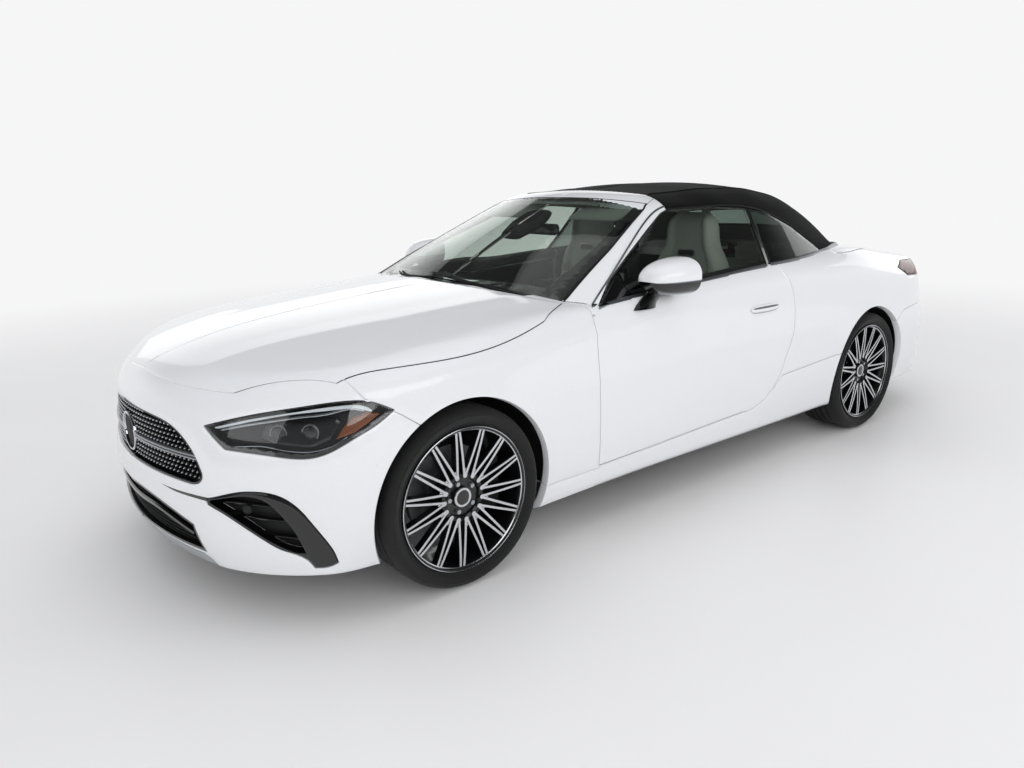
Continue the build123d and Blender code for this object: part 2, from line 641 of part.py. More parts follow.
def make_rear_bumper():
    """With the number plate's bare recess, the diffuser's fins and the exhausts' trims."""
    bumper = body_skin & rear_bumper_region(-seat_gap / 2)
    bumper -= wheel_rooms
    bumper -= lid_opening
    bumper -= (body_outer - body_solid(plate_recess)) & rear_prism(PLATE_OUTLINE)
    fins = [block(-FAR, 0, y - fin_width / 2, y + fin_width / 2, 0, 500) for y in DIFFUSER_FINS]
    tips = both_sides(side_of_rear_prism(EXHAUST_OUTLINE) - side_of_rear_prism(EXHAUST_OUTLINE, -EXHAUST_WALL))
    diffuser = (body_outer - body_recess) & rear_prism(DIFFUSER_OUTLINE)
    bumper -= diffuser - fins - tips
    return bumper - block(-1960, 0, -well_inner_y, well_inner_y, 0, BONNET_LOW_Z)


def make_bonnet():
    return body_skin & plan_prism(shrink(bonnet_face, panel_gap), BONNET_LOW_Z, above_everything)


def make_lid():
    return body_skin & plan_prism(shrink(lid_face, panel_gap), LID_LOW_Z + panel_gap, above_everything)


def make_cowl():
    """The trough under the bonnet's rear edge, with the pads of the bonnet's two hinges."""
    plate = cowl_top - body_solid(cowl_depth + cowl_thickness)
    plate &= block(firewall_x - 60, bonnet_hinge_x + 190, -cowl_half_width, cowl_half_width, 850, 1100)
    pads = both_sides(block(bonnet_hinge_x + hinge_pad_x[0], bonnet_hinge_x + hinge_pad_x[1], *hinge_pad_y,
                            850, 1100))
    return plate + ((body_solid(skin + seat_gap) - cowl_top) & pads)


# ---- greenhouse --------------------------------------------------------------------------------------------
above_belt = block(-FAR, FAR, -FAR, FAR, belt_low_z, above_everything)
glass_shell = greenhouse_outer - greenhouse_solid(glass_thickness)
frame_shell = (greenhouse_outer - greenhouse_solid(frame_thickness)) & above_belt
fabric_shell = (greenhouse_outer - cabin_space) & above_belt
screen_face = outline(mirror_points(SCREEN_OUTLINE, "first"))
header_face = outline(HEADER_SEAM)
door_glass_face = outline(DOOR_GLASS)
quarter_glass_face = outline(QUARTER_GLASS)
rear_window_face = outline(mirror_points(REAR_WINDOW, "first"))
ahead_of_header = side_prism(header_face, -FAR, FAR)
door_window_outline = offset(door_glass_face, amount=panel_gap, kind=Kind.INTERSECTION)
door_window_hole = side_prism(door_window_outline, side_window_y, FAR)


def make_windscreen():
    pane = glass_shell & front_prism(shrink(screen_face, seat_gap), screen_back_x, screen_ahead_x)
    return pane - cowl_top - plan_prism(offset(bonnet_face, amount=bonnet_swing_gap), BONNET_LOW_Z, 1100)


def make_windscreen_frame():
    frame = frame_shell & ahead_of_header
    frame -= front_prism(screen_face, screen_back_x, screen_ahead_x)
    frame -= body_outer
    frame -= both_sides(Pos(0, 0, panel_gap) * (body_outer & door_opening))
    frame -= both_sides(door_window_hole)
    return frame.solids().sort_by(SortBy.VOLUME)[-1]


def side_window_holes():
    quarter_outline = offset(quarter_glass_face, amount=seat_gap, kind=Kind.INTERSECTION)
    return both_sides(door_window_hole + side_prism(quarter_outline, side_window_y, FAR))


def make_soft_top():
    top = fabric_shell - side_prism(offset(header_face, amount=seat_gap, kind=Kind.INTERSECTION), -FAR, FAR)
    top -= side_window_holes()
    top -= front_prism(rear_window_face, -FAR, rear_window_ahead_x)
    return top - body_outer


def make_rear_window():
    return glass_shell & front_prism(shrink(rear_window_face, seat_gap), -FAR, rear_window_ahead_x)


def make_quarter_glass():
    return both_sides((glass_shell & side_prism(quarter_glass_face, side_window_y, FAR)) - body_outer)


# ---- doors -------------------------------------------------------------------------------------------------
def make_door():
    """The whole door's thickness, stepped at its rear edge so that the inner part swings clear."""
    outer_part = side_prism(shrink(door_face, panel_gap), door_step_y, FAR)
    inner_face = shrink(door_face, panel_gap) & (Pos(door_step, 0) * shrink(door_face, panel_gap))
    inner_part = side_prism(inner_face, door_inner_y, door_step_y)
    door = body_outer & (outer_part + inner_part)
    slot = side_prism(offset(door_glass_face, amount=glass_slot_gap), 600, FAR)
    slot &= block(-FAR, FAR, 0, FAR, glass_foot_z - seat_gap, above_everything)
    slot &= greenhouse_solid(-glass_slot_gap) - greenhouse_solid(glass_thickness + glass_slot_gap)
    return (door - slot).solids().sort_by(SortBy.VOLUME)[-1]


def make_door_glass():
    """Ends inside the door, below its belt."""
    pane = glass_shell & side_prism(door_glass_face, side_window_y, FAR)
    return pane & left_half


def make_mirror():
    """The housing on its foot, which stands on the door ahead of the glass."""
    x, y, z = mirror_place
    length, width, height = mirror_size
    housing = Pos(x, y, z) * Box(length, width, height)
    housing = fillet(housing.edges(), mirror_edge)
    neck = Pos(x + mirror_neck_shift[0], y + mirror_neck_shift[1], z - height / 2 + 15)
    base = Pos(x + mirror_foot_shift[0], y + mirror_foot_shift[1], mirror_foot_z)
    foot = loft([neck * Rectangle(*mirror_neck_size), base * Rectangle(*mirror_foot_size)])
    return (housing + foot) - body_outer - greenhouse_solid(-glass_slot_gap)


# ---- structure ---------------------------------------------------------------------------------------------
def make_underbody():
    """Floor, firewall, bulkhead, side walls of the tub, rails under engine and boot, and the hinge posts."""
    y = door_inner_y - seat_gap
    top = floor_z + floor_thickness
    tub = block(bulkhead_x, firewall_x + 30, -y, y, floor_z, top)
    firewall = block(firewall_x, firewall_x + cabin_wall, -y, y, floor_z, firewall_z)
    wall_top = block(firewall_x, firewall_x + cabin_wall, -cowl_half_width, cowl_half_width, firewall_z, 1100)
    firewall += wall_top & body_solid(cowl_depth + cowl_thickness + seat_gap)
    hinge_posts = both_sides(block(lid_hinge_x + hinge_post_x[0], lid_hinge_x + hinge_post_x[1], *hinge_post_y,
                                   shelf_z, 1100))
    bulkhead = block(bulkhead_x, bulkhead_x + bulkhead_thickness, -y, y, floor_z, bulkhead_z)
    tunnel = block(rear_seat_x, firewall_x, -tunnel_half_width, tunnel_half_width, floor_z, tunnel_z)
    heel = block(bulkhead_x, rear_seat_x, -y, y, floor_z, rear_floor_z)
    crossbar = block(rail_front_x - 60, rail_front_x, -crossbar_half_width, crossbar_half_width,
                     rail_z, rail_z + rail_height)
    boot_floor = block(boot_rear_x, bulkhead_x, -boot_half_width, boot_half_width, boot_floor_z,
                       boot_floor_z + floor_thickness)
    shelf = block(lid_hinge_x - 60, bulkhead_x, -shelf_half_width, shelf_half_width, shelf_z,
                  shelf_z + cabin_wall)
    total = tub + firewall + bulkhead + tunnel + heel + crossbar + boot_floor + shelf
    total += hinge_posts & body_solid(skin + seat_gap)
    for side in (1, -1):
        rail_sides = (side * rail_y - rail_width / 2, side * rail_y + rail_width / 2)
        total += block(firewall_x, rail_front_x, *rail_sides, rail_z, rail_z + rail_height)
        total += block(boot_rear_x, bulkhead_x, *rail_sides, boot_floor_z - rail_height, boot_floor_z)
    return total - wheel_rooms


def make_engine():
    return Pos(*engine_place) * Box(*engine_size)


def arm(start, end, width, height):
    """A flat arm between two level points, with round ends."""
    ahead = Vector(*end) - Vector(*start)
    plane = Plane(origin=start, x_dir=ahead, z_dir=(0, 0, 1))
    bar = plane * Pos(ahead.length / 2, 0, 0) * Box(ahead.length, width, height)
    for point in (start, end):
        bar += Pos(*point) * Cylinder(width / 2, height)
    return bar


def kingpin_y():
    return front_track / 2 - kingpin_inset


def upper_arm_z():
    return rail_z - seat_gap - arm_height / 2


def make_front_subframe():
    """The cross-member under the engine, with the lower wishbone, the post and the upper arm of each side."""
    top = subframe_z + subframe_height
    total = block(front_axle_x - subframe_half_length, front_axle_x + subframe_half_length,
                  -subframe_half_width, subframe_half_width, subframe_z, top)
    arm_root = subframe_half_width - arm_width / 2
    for side in (1, -1):
        for along in (1, -1):
            root = (front_axle_x + along * (subframe_half_length - arm_width / 2), side * arm_root, lower_arm_z)
            total += arm(root, (front_axle_x, side * kingpin_y(), lower_arm_z), arm_width, arm_height)
            total += Pos(root[0], root[1], (top + lower_arm_z) / 2) * Cylinder(arm_width / 2, lower_arm_z - top + 2)
        total += block(front_axle_x - post_half_x, front_axle_x + post_half_x, side * rail_y - rail_width / 2,
                       side * rail_y + rail_width / 2, subframe_z, rail_z - seat_gap)
        total += block(front_axle_x - post_half_x, front_axle_x + post_half_x,
                       min(side * 300, side * rail_y), max(side * 300, side * rail_y), subframe_z, top)
        mount_y = side * (engine_size[1] / 2 - 60)
        engine_foot = engine_place[2] - engine_size[2] / 2 - seat_gap
        total += block(front_axle_x - engine_mount_half, front_axle_x + engine_mount_half,
                       mount_y - engine_mount_half, mount_y + engine_mount_half, subframe_z, engine_foot)
        total += arm((front_axle_x, side * rail_y, upper_arm_z()),
        (front_axle_x, side * kingpin_y(), upper_arm_z()),
                     arm_width, arm_height)
        for z in (lower_arm_z, upper_arm_z()):
            total -= Pos(front_axle_x, side * kingpin_y(), z) * Cylinder(kingpin_radius + running_clearance, 80)
    return total


def hub_outer_y(track, rim_width):
    return track / 2 + rim_width / 2 - face_inset - hub_inset


def disc_middle_y(track, rim_width):
    return hub_outer_y(track, rim_width) - spoke_thickness - disc_inset - disc_thickness / 2


def spindle(axle_x, inner_y, track, rim_width):
    return rod((axle_x, inner_y, tyre_radius),
    (axle_x, hub_outer_y(track, rim_width) - bore_cap - 1, tyre_radius),
               spindle_radius)


def caliper(axle_x, track, rim_width, sign, inner_y):
    """A claw over the disc's edge, on a bracket from the upright."""
    y = disc_middle_y(track, rim_width)
    claw_size = (caliper_depth, disc_thickness + 2 * caliper_wall, caliper_height)
    claw = Pos(axle_x + sign * (disc_radius - 12), y, tyre_radius) * Box(*claw_size)
    claw -= wheel_ring(axle_x, disc_radius + disc_gap, disc_thickness + 2 * disc_gap, y)
    bracket_y = y - disc_thickness / 2 - bracket_gap
    far_x = axle_x + sign * (disc_radius + 12)
    bracket = block(min(axle_x, far_x), max(axle_x, far_x), bracket_y - bracket_thickness, bracket_y,
                    tyre_radius - bracket_height / 2, tyre_radius + bracket_height / 2)
    neck = rod((axle_x, inner_y, tyre_radius), (axle_x, bracket_y, tyre_radius), neck_radius)
    return claw + bracket + neck


def wheel_ring(axle_x, radius, width, y):
    plane = Plane(origin=(axle_x, y - width / 2, tyre_radius), x_dir=(1, 0, 0), z_dir=(0, 1, 0))
    return plane * Cylinder(radius, width, align=(Align.CENTER, Align.CENTER, Align.MIN))


def make_knuckle():
    """Upright with its two kingpin studs, the spindle and the brake caliper."""
    low, high = lower_arm_z + arm_height / 2 + seat_gap, upper_arm_z() - arm_height / 2 - seat_gap
    upright = block(front_axle_x - 28, front_axle_x + 28, kingpin_y() - 26, kingpin_y() + 26, low, high)
    for z in (lower_arm_z, upper_arm_z()):
        upright += Pos(front_axle_x, kingpin_y(), z) * Cylinder(kingpin_radius, arm_height + 2 * seat_gap + 4)
    return (upright + spindle(front_axle_x, kingpin_y(), front_track, front_rim_width)
            + caliper(front_axle_x, front_track, front_rim_width, -1, kingpin_y()))


def across_axle(half_length, from_y, to_y, from_z, to_z):
    """A block centred along the car on the rear axle."""
    return block(rear_axle_x - half_length, rear_axle_x + half_length, from_y, to_y, from_z, to_z)


def make_rear_axle():
    """Subframe and final drive, hub carriers with their spindles and calipers, and two links each side."""
    inner_y = disc_middle_y(rear_track, rear_rim_width) - disc_thickness / 2 - carrier_gap
    link_y = inner_y - carrier_thickness + 10
    total = across_axle(rear_subframe_half, -rear_subframe_y, rear_subframe_y, *rear_subframe_z)
    total += Pos(rear_axle_x, 0, final_drive_z) * Box(*final_drive_size)
    carrier = across_axle(carrier_half, inner_y - carrier_thickness, inner_y, *carrier_z)
    low_link = across_axle(low_link_half, rear_subframe_y - 10, link_y, *low_link_z)
    high_link = across_axle(high_link_half, rear_subframe_y - 40, link_y, *high_link_z)
    post_top = boot_floor_z - rail_height - seat_gap
    post = across_axle(carrier_half, rail_y - rail_width / 2, rail_y + rail_width / 2 - 10, low_link_z[0], post_top)
    foot = across_axle(carrier_half, rear_subframe_y - 30, rail_y, low_link_z[0], rear_subframe_z[1] - 5)
    group = (carrier + low_link + high_link + post + foot
             + spindle(rear_axle_x, inner_y - 30, rear_track, rear_rim_width)
             + caliper(rear_axle_x, rear_track, rear_rim_width, 1, inner_y))
    return total + group + mirror(group, about=Plane.XZ)


# ---- wheels ------------------------------------------------------------------------------------------------
def spoke_sketch():
    """The wheel's face: a ring joined to the hub by pairs of thin legs, with the windows between them cut out."""
    face = Circle(face_radius)
    pitch = 360 / spoke_count
    for index in range(spoke_count):
        middle = index * pitch
        for width, inner, outer in ((window_half, 0.40, 0.90), (pair_half, 0.62, 0.90)):
            turn = middle if width == window_half else middle + pitch / 2
            tip = Vector(1, 0).rotate(Axis.Z, turn) * (face_radius * inner)
            far = [Vector(1, 0).rotate(Axis.Z, turn + s * width) * (face_radius * outer) for s in (1, -1)]
            face -= make_face(Polyline(tip, far[0], far[1], close=True).edges())
    return face


def make_rim(rim_width):
    """Barrel, spoked face, hub and brake disc, about Z with the outside up."""
    face_z = rim_width / 2 - face_inset
    hub_z = face_z - hub_inset
    hub_depth = spoke_thickness + disc_inset + disc_thickness
    rim = Cylinder(rim_radius, rim_width) - Cylinder(rim_radius - rim_wall, rim_width + 2)
    rim += Pos(0, 0, face_z - spoke_thickness) * extrude(spoke_sketch(), amount=spoke_thickness)
    rim -= Pos(0, 0, face_z) * Cylinder(hub_radius - 20, 2 * hub_inset)
    rim += Pos(0, 0, hub_z - hub_depth / 2) * Cylinder(hub_radius, hub_depth)
    rim += Pos(0, 0, hub_z - hub_depth + disc_thickness / 2) * Cylinder(disc_radius, disc_thickness)
    return rim - Pos(0, 0, hub_z - bore_cap) * Cylinder(spindle_radius + running_clearance, rim_width,
                                                        align=(Align.CENTER, Align.CENTER, Align.MAX))


def make_tyre(width):
    """Straight-sided section with bevelled shoulders, turned about Z."""
    half = width / 2
    side = ((rim_radius, half - 14), (tyre_radius - 40, half), (tyre_radius - tyre_shoulder, half - 3),
            (tyre_radius, half - tyre_shoulder))
    points = [*side, *((r, -z) for r, z in reversed(side))]
    face = make_face(Polyline(*[(r, 0, z) for r, z in points], close=True).edges())
    return revolve(face, Axis.Z)


def on_axle(solid, axle_x, track, side):
    """Stands a wheel piece, made about Z with its outside up, on its hub."""
    turned = Plane(origin=(axle_x, track / 2, tyre_radius), x_dir=(1, 0, 0), z_dir=(0, 1, 0)) * solid
    return turned if side == 1 else mirror(turned, about=Plane.XZ)


# ---- inside ------------------------------------------------------------------------------------------------
def make_seat():
    """Cushion and backrest with its headrest in one, as the closed outer shape of a front seat."""
    with BuildSketch(Plane(origin=(0, seat_y + seat_width / 2, 0), x_dir=(1, 0, 0), z_dir=(0, -1, 0))) as side:
        with BuildLine():
            Polyline(*SEAT_SIDE, close=True)
        make_face()
    front = front_prism(outline(mirror_points(SEAT_FRONT, "first")), -FAR, seat_front_x)
    return extrude(side.sketch, amount=seat_width) & (Pos(0, seat_y, 0) * front)


def make_bench():
    with BuildSketch(Plane(origin=(0, bench_width / 2, 0), x_dir=(1, 0, 0), z_dir=(0, -1, 0))) as side:
        with BuildLine():
            Polyline(*BENCH_SIDE, close=True)
        make_face()
    front = front_prism(outline(mirror_points(BENCH_FRONT, "first")), -FAR, 0)
    return extrude(side.sketch, amount=bench_width) & front


def make_dashboard():
    """The board from side to side, with the column that carries the steering wheel."""
    with BuildSketch(Plane(origin=(0, dash_half_width, 0), x_dir=(1, 0, 0), z_dir=(0, -1, 0))) as side:
        with BuildLine():
            Polyline(*DASH_SIDE, close=True)
        make_face()
    board = extrude(side.sketch, amount=2 * dash_half_width)
    ahead = column_direction()
    start = Vector(*steering_wheel_place) + ahead * 40
    board += rod(start, start + ahead * 230, steering_boss_radius)
    return board - steering_bore()


def column_direction():
    tilt = math.radians(steering_column_tilt)
    return Vector(math.cos(tilt), 0, -math.sin(tilt))


def steering_bore():
    start = Vector(*steering_wheel_place)
    return rod(start, start + column_direction() * 120, steering_stub_radius + running_clearance)


def make_steering_wheel():
    """Rim, three spokes and hub, about the column, with the stub that turns in it."""
    plane = Plane(origin=steering_wheel_place, x_dir=(0, 1, 0), z_dir=column_direction())
    wheel = Torus(steering_wheel_radius - steering_grip_radius, steering_grip_radius)
    wheel += Pos(0, 0, 10) * Cylinder(62, 40)
    for turn in (0, 180, 90):
        spoke = Rot(0, 0, turn) * Pos(steering_wheel_radius / 2 - 8, 0, 4) * Box(steering_wheel_radius - 16, 34, 14)
        wheel += spoke
    wheel += Pos(0, 0, 60) * Cylinder(steering_stub_radius, 100)
    return plane * wheel


def make_console():
    return block(-520, 520, -console_half_width, console_half_width, tunnel_z + seat_gap, console_z)


# ---- writing -----------------------------------------------------------------------------------------------
def write(name, shape):
    export_step(shape, os.path.join("parts", name + ".step"))


def main():
    os.makedirs("parts", exist_ok=True)
    head_lamps, tail_lamps = make_lamps()
    deck = deck_without_sides()
    write("underbody", make_underbody())
    write("engine_block", make_engine())
    write("front_subframe", make_front_subframe())
    write("rear_axle", make_rear_axle())
    write("front_bumper", make_front_bumper())
    write("grille", make_grille())
    write("bumper_inserts", make_inserts())
    write("headlamps", head_lamps)
    write("tail_lamps", tail_lamps)
    write("front_fenders", make_fenders())
    write("sills", make_sills())
    write("rear_quarters", make_quarters(deck))
    write("tonneau_panel", make_tonneau(deck))
    write("rear_bumper", make_rear_bumper())
    write("cowl", make_cowl())
    write("windscreen_frame", make_windscreen_frame())
    write("windscreen", make_windscreen())
    write("soft_top", make_soft_top())
    write("rear_window", make_rear_window())
    write("quarter_glasses", make_quarter_glass())
    write("dashboard", make_dashboard())
    write("console", make_console())
    write("front_seats", both_sides(make_seat()))
    write("rear_bench", make_bench())
    write("bonnet", make_bonnet())
    write("boot_lid", make_lid())
    write("steering_wheel", make_steering_wheel())
    pairs = {"door": make_door(), "door_glass": make_door_glass(), "mirror": make_mirror(),
             "knuckle": make_knuckle()}
    for name, piece in pairs.items():
        write(name + "_left", piece)
        write(name + "_right", mirror(piece, about=Plane.XZ))
    for axle, axle_x, track, width, rim_width in (
            ("front", front_axle_x, front_track, front_tyre_width, front_rim_width),
            ("rear", rear_axle_x, rear_track, rear_tyre_width, rear_rim_width)):
        for side, sign in (("left", 1), ("right", -1)):
            write(f"rim_{axle}_{side}", on_axle(make_rim(rim_width), axle_x, track, sign))
            write(f"tyre_{axle}_{side}", on_axle(make_tyre(width), axle_x, track, sign))


if __name__ == "__main__":
    main()
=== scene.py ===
import copy
import math

import bpy
import numpy as np
from mathutils import Matrix, Vector
from mathutils.geometry import delaunay_2d_cdt


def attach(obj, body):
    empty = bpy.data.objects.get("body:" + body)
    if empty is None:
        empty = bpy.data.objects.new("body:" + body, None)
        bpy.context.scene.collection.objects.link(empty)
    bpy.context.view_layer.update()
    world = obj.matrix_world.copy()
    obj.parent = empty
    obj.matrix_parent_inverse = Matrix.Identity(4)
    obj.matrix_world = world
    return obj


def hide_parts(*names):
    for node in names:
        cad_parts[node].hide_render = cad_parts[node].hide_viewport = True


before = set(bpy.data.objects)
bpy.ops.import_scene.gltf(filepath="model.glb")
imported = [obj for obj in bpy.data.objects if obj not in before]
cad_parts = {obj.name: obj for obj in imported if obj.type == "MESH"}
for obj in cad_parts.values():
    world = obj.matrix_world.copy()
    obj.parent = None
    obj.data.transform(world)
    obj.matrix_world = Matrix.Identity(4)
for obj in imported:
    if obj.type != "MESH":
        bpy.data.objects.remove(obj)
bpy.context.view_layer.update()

# Shapes are worked out in millimetres and written to the meshes in metres.
# +X forward, +Y to the car's left, +Z up.
MM = 0.001
FRONT_AXLE_X = 1540.0
REAR_AXLE_X = -1325.0
WHEEL_Z = 339.5
ARCH_LIP = 379.0
PANEL_DEPTH = 34.0
BODY_HEART_Z = 560.0            # the line that the body's sections are measured from
TOP_HEART_Z = 880.0
NOSE_HEART_X = 1400.0
TOP_HEART_X = -150.0

# ---- surfaces: the same sections as the solid parts
BODY_SECTIONS = np.array((
    # x, half_width, z_wide, y_sill, z_sill, y_up, z_up, y_top, z_top, z_crown
    (2440, 862, 450, 800, 165, 832, 640, 690, 735, 775),
    (2200, 892, 450, 838, 178, 868, 690, 740, 800, 862),
    (1900, 916, 520, 870, 183, 894, 768, 785, 863, 925),
    (1540, 930, 620, 884, 190, 907, 806, 800, 906, 966),
    (1100, 922, 650, 882, 192, 903, 841, 808, 945, 1000),
    (800, 919, 640, 880, 196, 898, 866, 848, 960, 1014),
    (200, 919, 640, 878, 196, 901, 886, 852, 993, 1040),
    (-400, 923, 650, 880, 196, 897, 906, 818, 1029, 1060),
    (-1000, 927, 660, 882, 196, 889, 910, 763, 1046, 1066),
    (-1325, 928.5, 660, 882, 195, 883, 901, 743, 1044, 1061),
    (-1800, 916, 640, 866, 192, 856, 876, 701, 987, 1036),
    (-2200, 886, 600, 831, 196, 813, 846, 666, 937, 985),
    (-2440, 851, 580, 791, 205, 766, 801, 641, 901, 941)), float)
SHOULDER_BULGE = 0.10
END_SECTIONS = np.array((
    # z, front: centre, at_mid, corner_x, corner_y, side_x, side_y, rear: the same six
    (110, 2340, 2262, 2080, 790, 1850, 902, -2330, -2260, -2120, 780, -1850, 902),
    (230, 2409, 2319, 2130, 792, 1850, 926, -2380, -2310, -2150, 785, -1850, 916),
    (480, 2423, 2325, 2125, 801, 1850, 936, -2420, -2347, -2180, 785, -1850, 926),
    (640, 2418, 2286, 2085, 801, 1820, 926, -2420, -2342, -2175, 776, -1850, 921),
    (760, 2384, 2229, 2020, 801, 1760, 921, -2405, -2335, -2160, 766, -1850, 916),
    (900, 2200, 2080, 1880, 801, 1650, 921, -2391, -2315, -2130, 741, -1850, 911),
    (1100, 1900, 1800, 1700, 801, 1550, 921, -2300, -2250, -2080, 721, -1850, 901)), float)
END_MID_Y = 550.0
ROOF_SECTIONS = np.array((
    # x, z_crown, y_roof, z_roof, y_mid, z_mid, y_edge, z_edge, y_base
    (1120, 1330, 430, 1318, 560, 1292, 632, 1235, 905),
    (560, 1352, 420, 1340, 530, 1318, 600, 1270, 915),
    (100, 1391, 400, 1374, 510, 1352, 575, 1318, 925),
    (-350, 1422, 400, 1398, 520, 1372, 606, 1308, 922),
    (-900, 1391, 380, 1364, 495, 1330, 575, 1268, 898),
    (-1300, 1278, 350, 1246, 450, 1212, 530, 1150, 830),
    (-1760, 1040, 300, 1010, 400, 985, 470, 940, 620)), float)
SCREEN_SECTIONS = np.array((
    # z, screen_x, corner_x, corner_y, pillar_x, pillar_y, rear_side_x, mid_x, mid_y, arc_x, arc_y, rear_x
    (880, 1205, 1060, 760, 905, 985, -1500, -1740, 620, -1800, 420, -1880),
    (1000, 978, 852, 714, 690, 900, -1330, -1590, 590, -1680, 420, -1750),
    (1150, 712, 560, 652, 425, 830, -1090, -1360, 560, -1450, 400, -1510),
    (1310, 372, 240, 560, 125, 740, -830, -1080, 520, -1170, 360, -1230),
    (1450, 45, -60, 480, -160, 640, -500, -760, 480, -850, 320, -900)), float)

# ---- outlines, as on the solid parts: a pair is a straight edge, four numbers an arc over one point to another
DOOR_OUTLINE = ((872, 985), (889, 900), (889, 760, 868, 300), (585, 306), (-120, 332), (-325, 388, -418, 500),
                (-440, 560), (-512, 810, -398, 1085))
SILL_TOP = ((2000, 290), (868, 290), (860, 297), (585, 303), (-120, 329), (-330, 389, -428, 470), (-921, 499),
            (-1300, 499))
BUMPER_SEAM = ((1680, 622), (1722, 655), (1800, 712), (1905, 775), (1985, 905))
REAR_SEAM = ((-1540, 560), (-1590, 600), (-1700, 660), (-2140, 690), (-2420, 690))
BONNET_OUTLINE = ((2336, 0), (2303, 330, 2208, 547), (1965, 797), (1540, 872, 1106, 837), (925, 742),
                  (1006, 380, 1033, 0))
LID_OUTLINE = ((-1762, 0), (-1766, 240, -1778, 430), (-1810, 570, -1960, 620), (-2600, 640))
LID_LOW_Z = 655.0
TONNEAU_OUTLINE = ((-1100, 0), (-1100, 792), (-1480, 735, -1792, 590), (-1800, 400), (-1800, 0))
GRILLE_EDGES = (((0, 697), (130, 690), (257, 682), (350, 665), (417, 630), (472, 582), (507, 537)),
                ((507, 537), (515, 520), (508, 502), (488, 490), (460, 485)), ((460, 485), (0, 484)))
INTAKE_OUTLINE = ((0, 392), (240, 388, 470, 345), (502, 248), (0, 240))
CURTAIN_EDGES = (((540, 450), (590, 467), (650, 487), (700, 493), (752, 484), (790, 454), (822, 398),
                  (846, 333), (857, 280), (857, 242)), ((857, 242), (840, 229), (815, 228)),
                 ((815, 228), (806, 262), (768, 296), (725, 330), (665, 378), (600, 416), (540, 440)),
                 ((540, 440), (540, 450)))
CURTAIN_MOUTH = (
    ((556, 446), (620, 464), (680, 474), (718, 465), (757, 425), (785, 375), (801, 320), (806, 288)),
    ((806, 288), (770, 300), (728, 334), (668, 382), (602, 420), (556, 437)), ((556, 437), (556, 446)))
HEADLAMP_EDGES = (((2300, 492, 683), (2189, 646, 732), (2075, 756, 758), (1960, 838, 772), (1885, 878, 764),
                   (1824, 906, 731)),
                  ((1824, 906, 731), (1884, 898, 693), (1957, 876, 656), (2020, 850, 622), (2075, 818, 603),
                   (2173, 730, 609), (2273, 589, 619)),
                  ((2273, 589, 619), (2288, 537, 650), (2300, 492, 683)))
TAIL_LAMP_POINTS = ((-1730, 850, 905), (-1850, 800, 935), (-2392, 480, 905), (-2425, 480, 812),
                    (-2300, 660, 806), (-1960, 850, 840), (-1834, 868, 850), (-1730, 850, 905))
SCREEN_OUTLINE = ((0, 900), (745, 900), (722, 984), (650, 1152), (560, 1309), (535, 1332), (300, 1352, 0, 1358))
HEADER_SEAM = ((700, 900), (122, 1280), (95, 1480))
DOOR_GLASS = ((838, 932), (838, 948), (690, 1046), (520, 1126), (300, 1228), (165, 1290), (125, 1301),
              (-240, 1303), (-470, 1290), (-440, 1150, -384, 1010), (-384, 932), (838, 932))
QUARTER_GLASS = ((-392, 1000), (-448, 1150, -478, 1288), (-640, 1262), (-820, 1185), (-1015, 1050),
                 (-1015, 1000), (-392, 1000))
REAR_WINDOW = ((0, 1300), (360, 1286), (455, 1160), (430, 1140), (0, 1150))


def spline(knots, rows, at):
    """A smooth curve through the rows, read at the given places."""
    order = np.argsort(knots)
    x, y = knots[order], rows[order]
    step = np.diff(x)
    count = len(x)
    grid, right = np.eye(count), np.zeros((count, y.shape[1]))
    for i in range(1, count - 1):
        grid[i, i - 1:i + 2] = step[i - 1], 2 * (step[i - 1] + step[i]), step[i]
        right[i] = 6 * ((y[i + 1] - y[i]) / step[i] - (y[i] - y[i - 1]) / step[i - 1])
    bend = np.linalg.solve(grid, right)
    i = np.clip(np.searchsorted(x, at) - 1, 0, count - 2)
    h, t, s = step[i][:, None], (at - x[i])[:, None], (x[i + 1] - at)[:, None]
    return ((bend[i] * s ** 3 + bend[i + 1] * t ** 3) / (6 * h) + (y[i] / h - bend[i] * h / 6) * s
            + (y[i + 1] / h - bend[i + 1] * h / 6) * t)


def round_through(a, over, b, count):
    """Points on the circle's stretch from a, over a middle point, to b. The first point is left out."""
    a, over, b = complex(*a), complex(*over), complex(*b)
    w = (b - a) / (over - a)
    share = np.linspace(0, 1, count + 1)[1:]
    if abs(w.imag) < 1e-9:
        line = a + (b - a) * share
    else:
        centre = a - (a - over) * (w - abs(w) ** 2) / (2j * w.imag)
        middle, turn = (np.angle((p - centre) / (a - centre)) for p in (over, b))
        if middle * turn < 0 or abs(turn) < abs(middle):
            turn += 2 * np.pi * np.sign(middle)
        line = centre + (a - centre) * np.exp(1j * turn * share)
    return np.column_stack((line.real, line.imag))


def trace(points, step=12.0):
    """Follows an outline in even small steps."""
    line = [np.array([points[0]], float)]
    for point in points[1:]:
        here = line[-1][-1]
        count = max(1, math.ceil(math.dist(here, point[-2:]) / step))
        if len(point) == 4:
            line.append(round_through(here, point[:2], point[2:], count + 1))
        else:
            line.append(here + (np.array(point, float) - here) * (np.arange(1, count + 1) / count)[:, None])
    return np.concatenate(line)


def curve(points, step=8.0):
    """A smooth line through chosen points, in even small steps."""
    points = np.asarray(points, float)
    run = np.concatenate(([0], np.cumsum(np.linalg.norm(np.diff(points, axis=0), axis=1))))
    return spline(run, points, np.linspace(0, run[-1], max(3, math.ceil(run[-1] / step) + 1)))


def curves(*stretches):
    """An outline of smooth stretches, each through its own points, with corners between them."""
    return np.concatenate([curve(stretch)[int(i > 0):] for i, stretch in enumerate(stretches)])


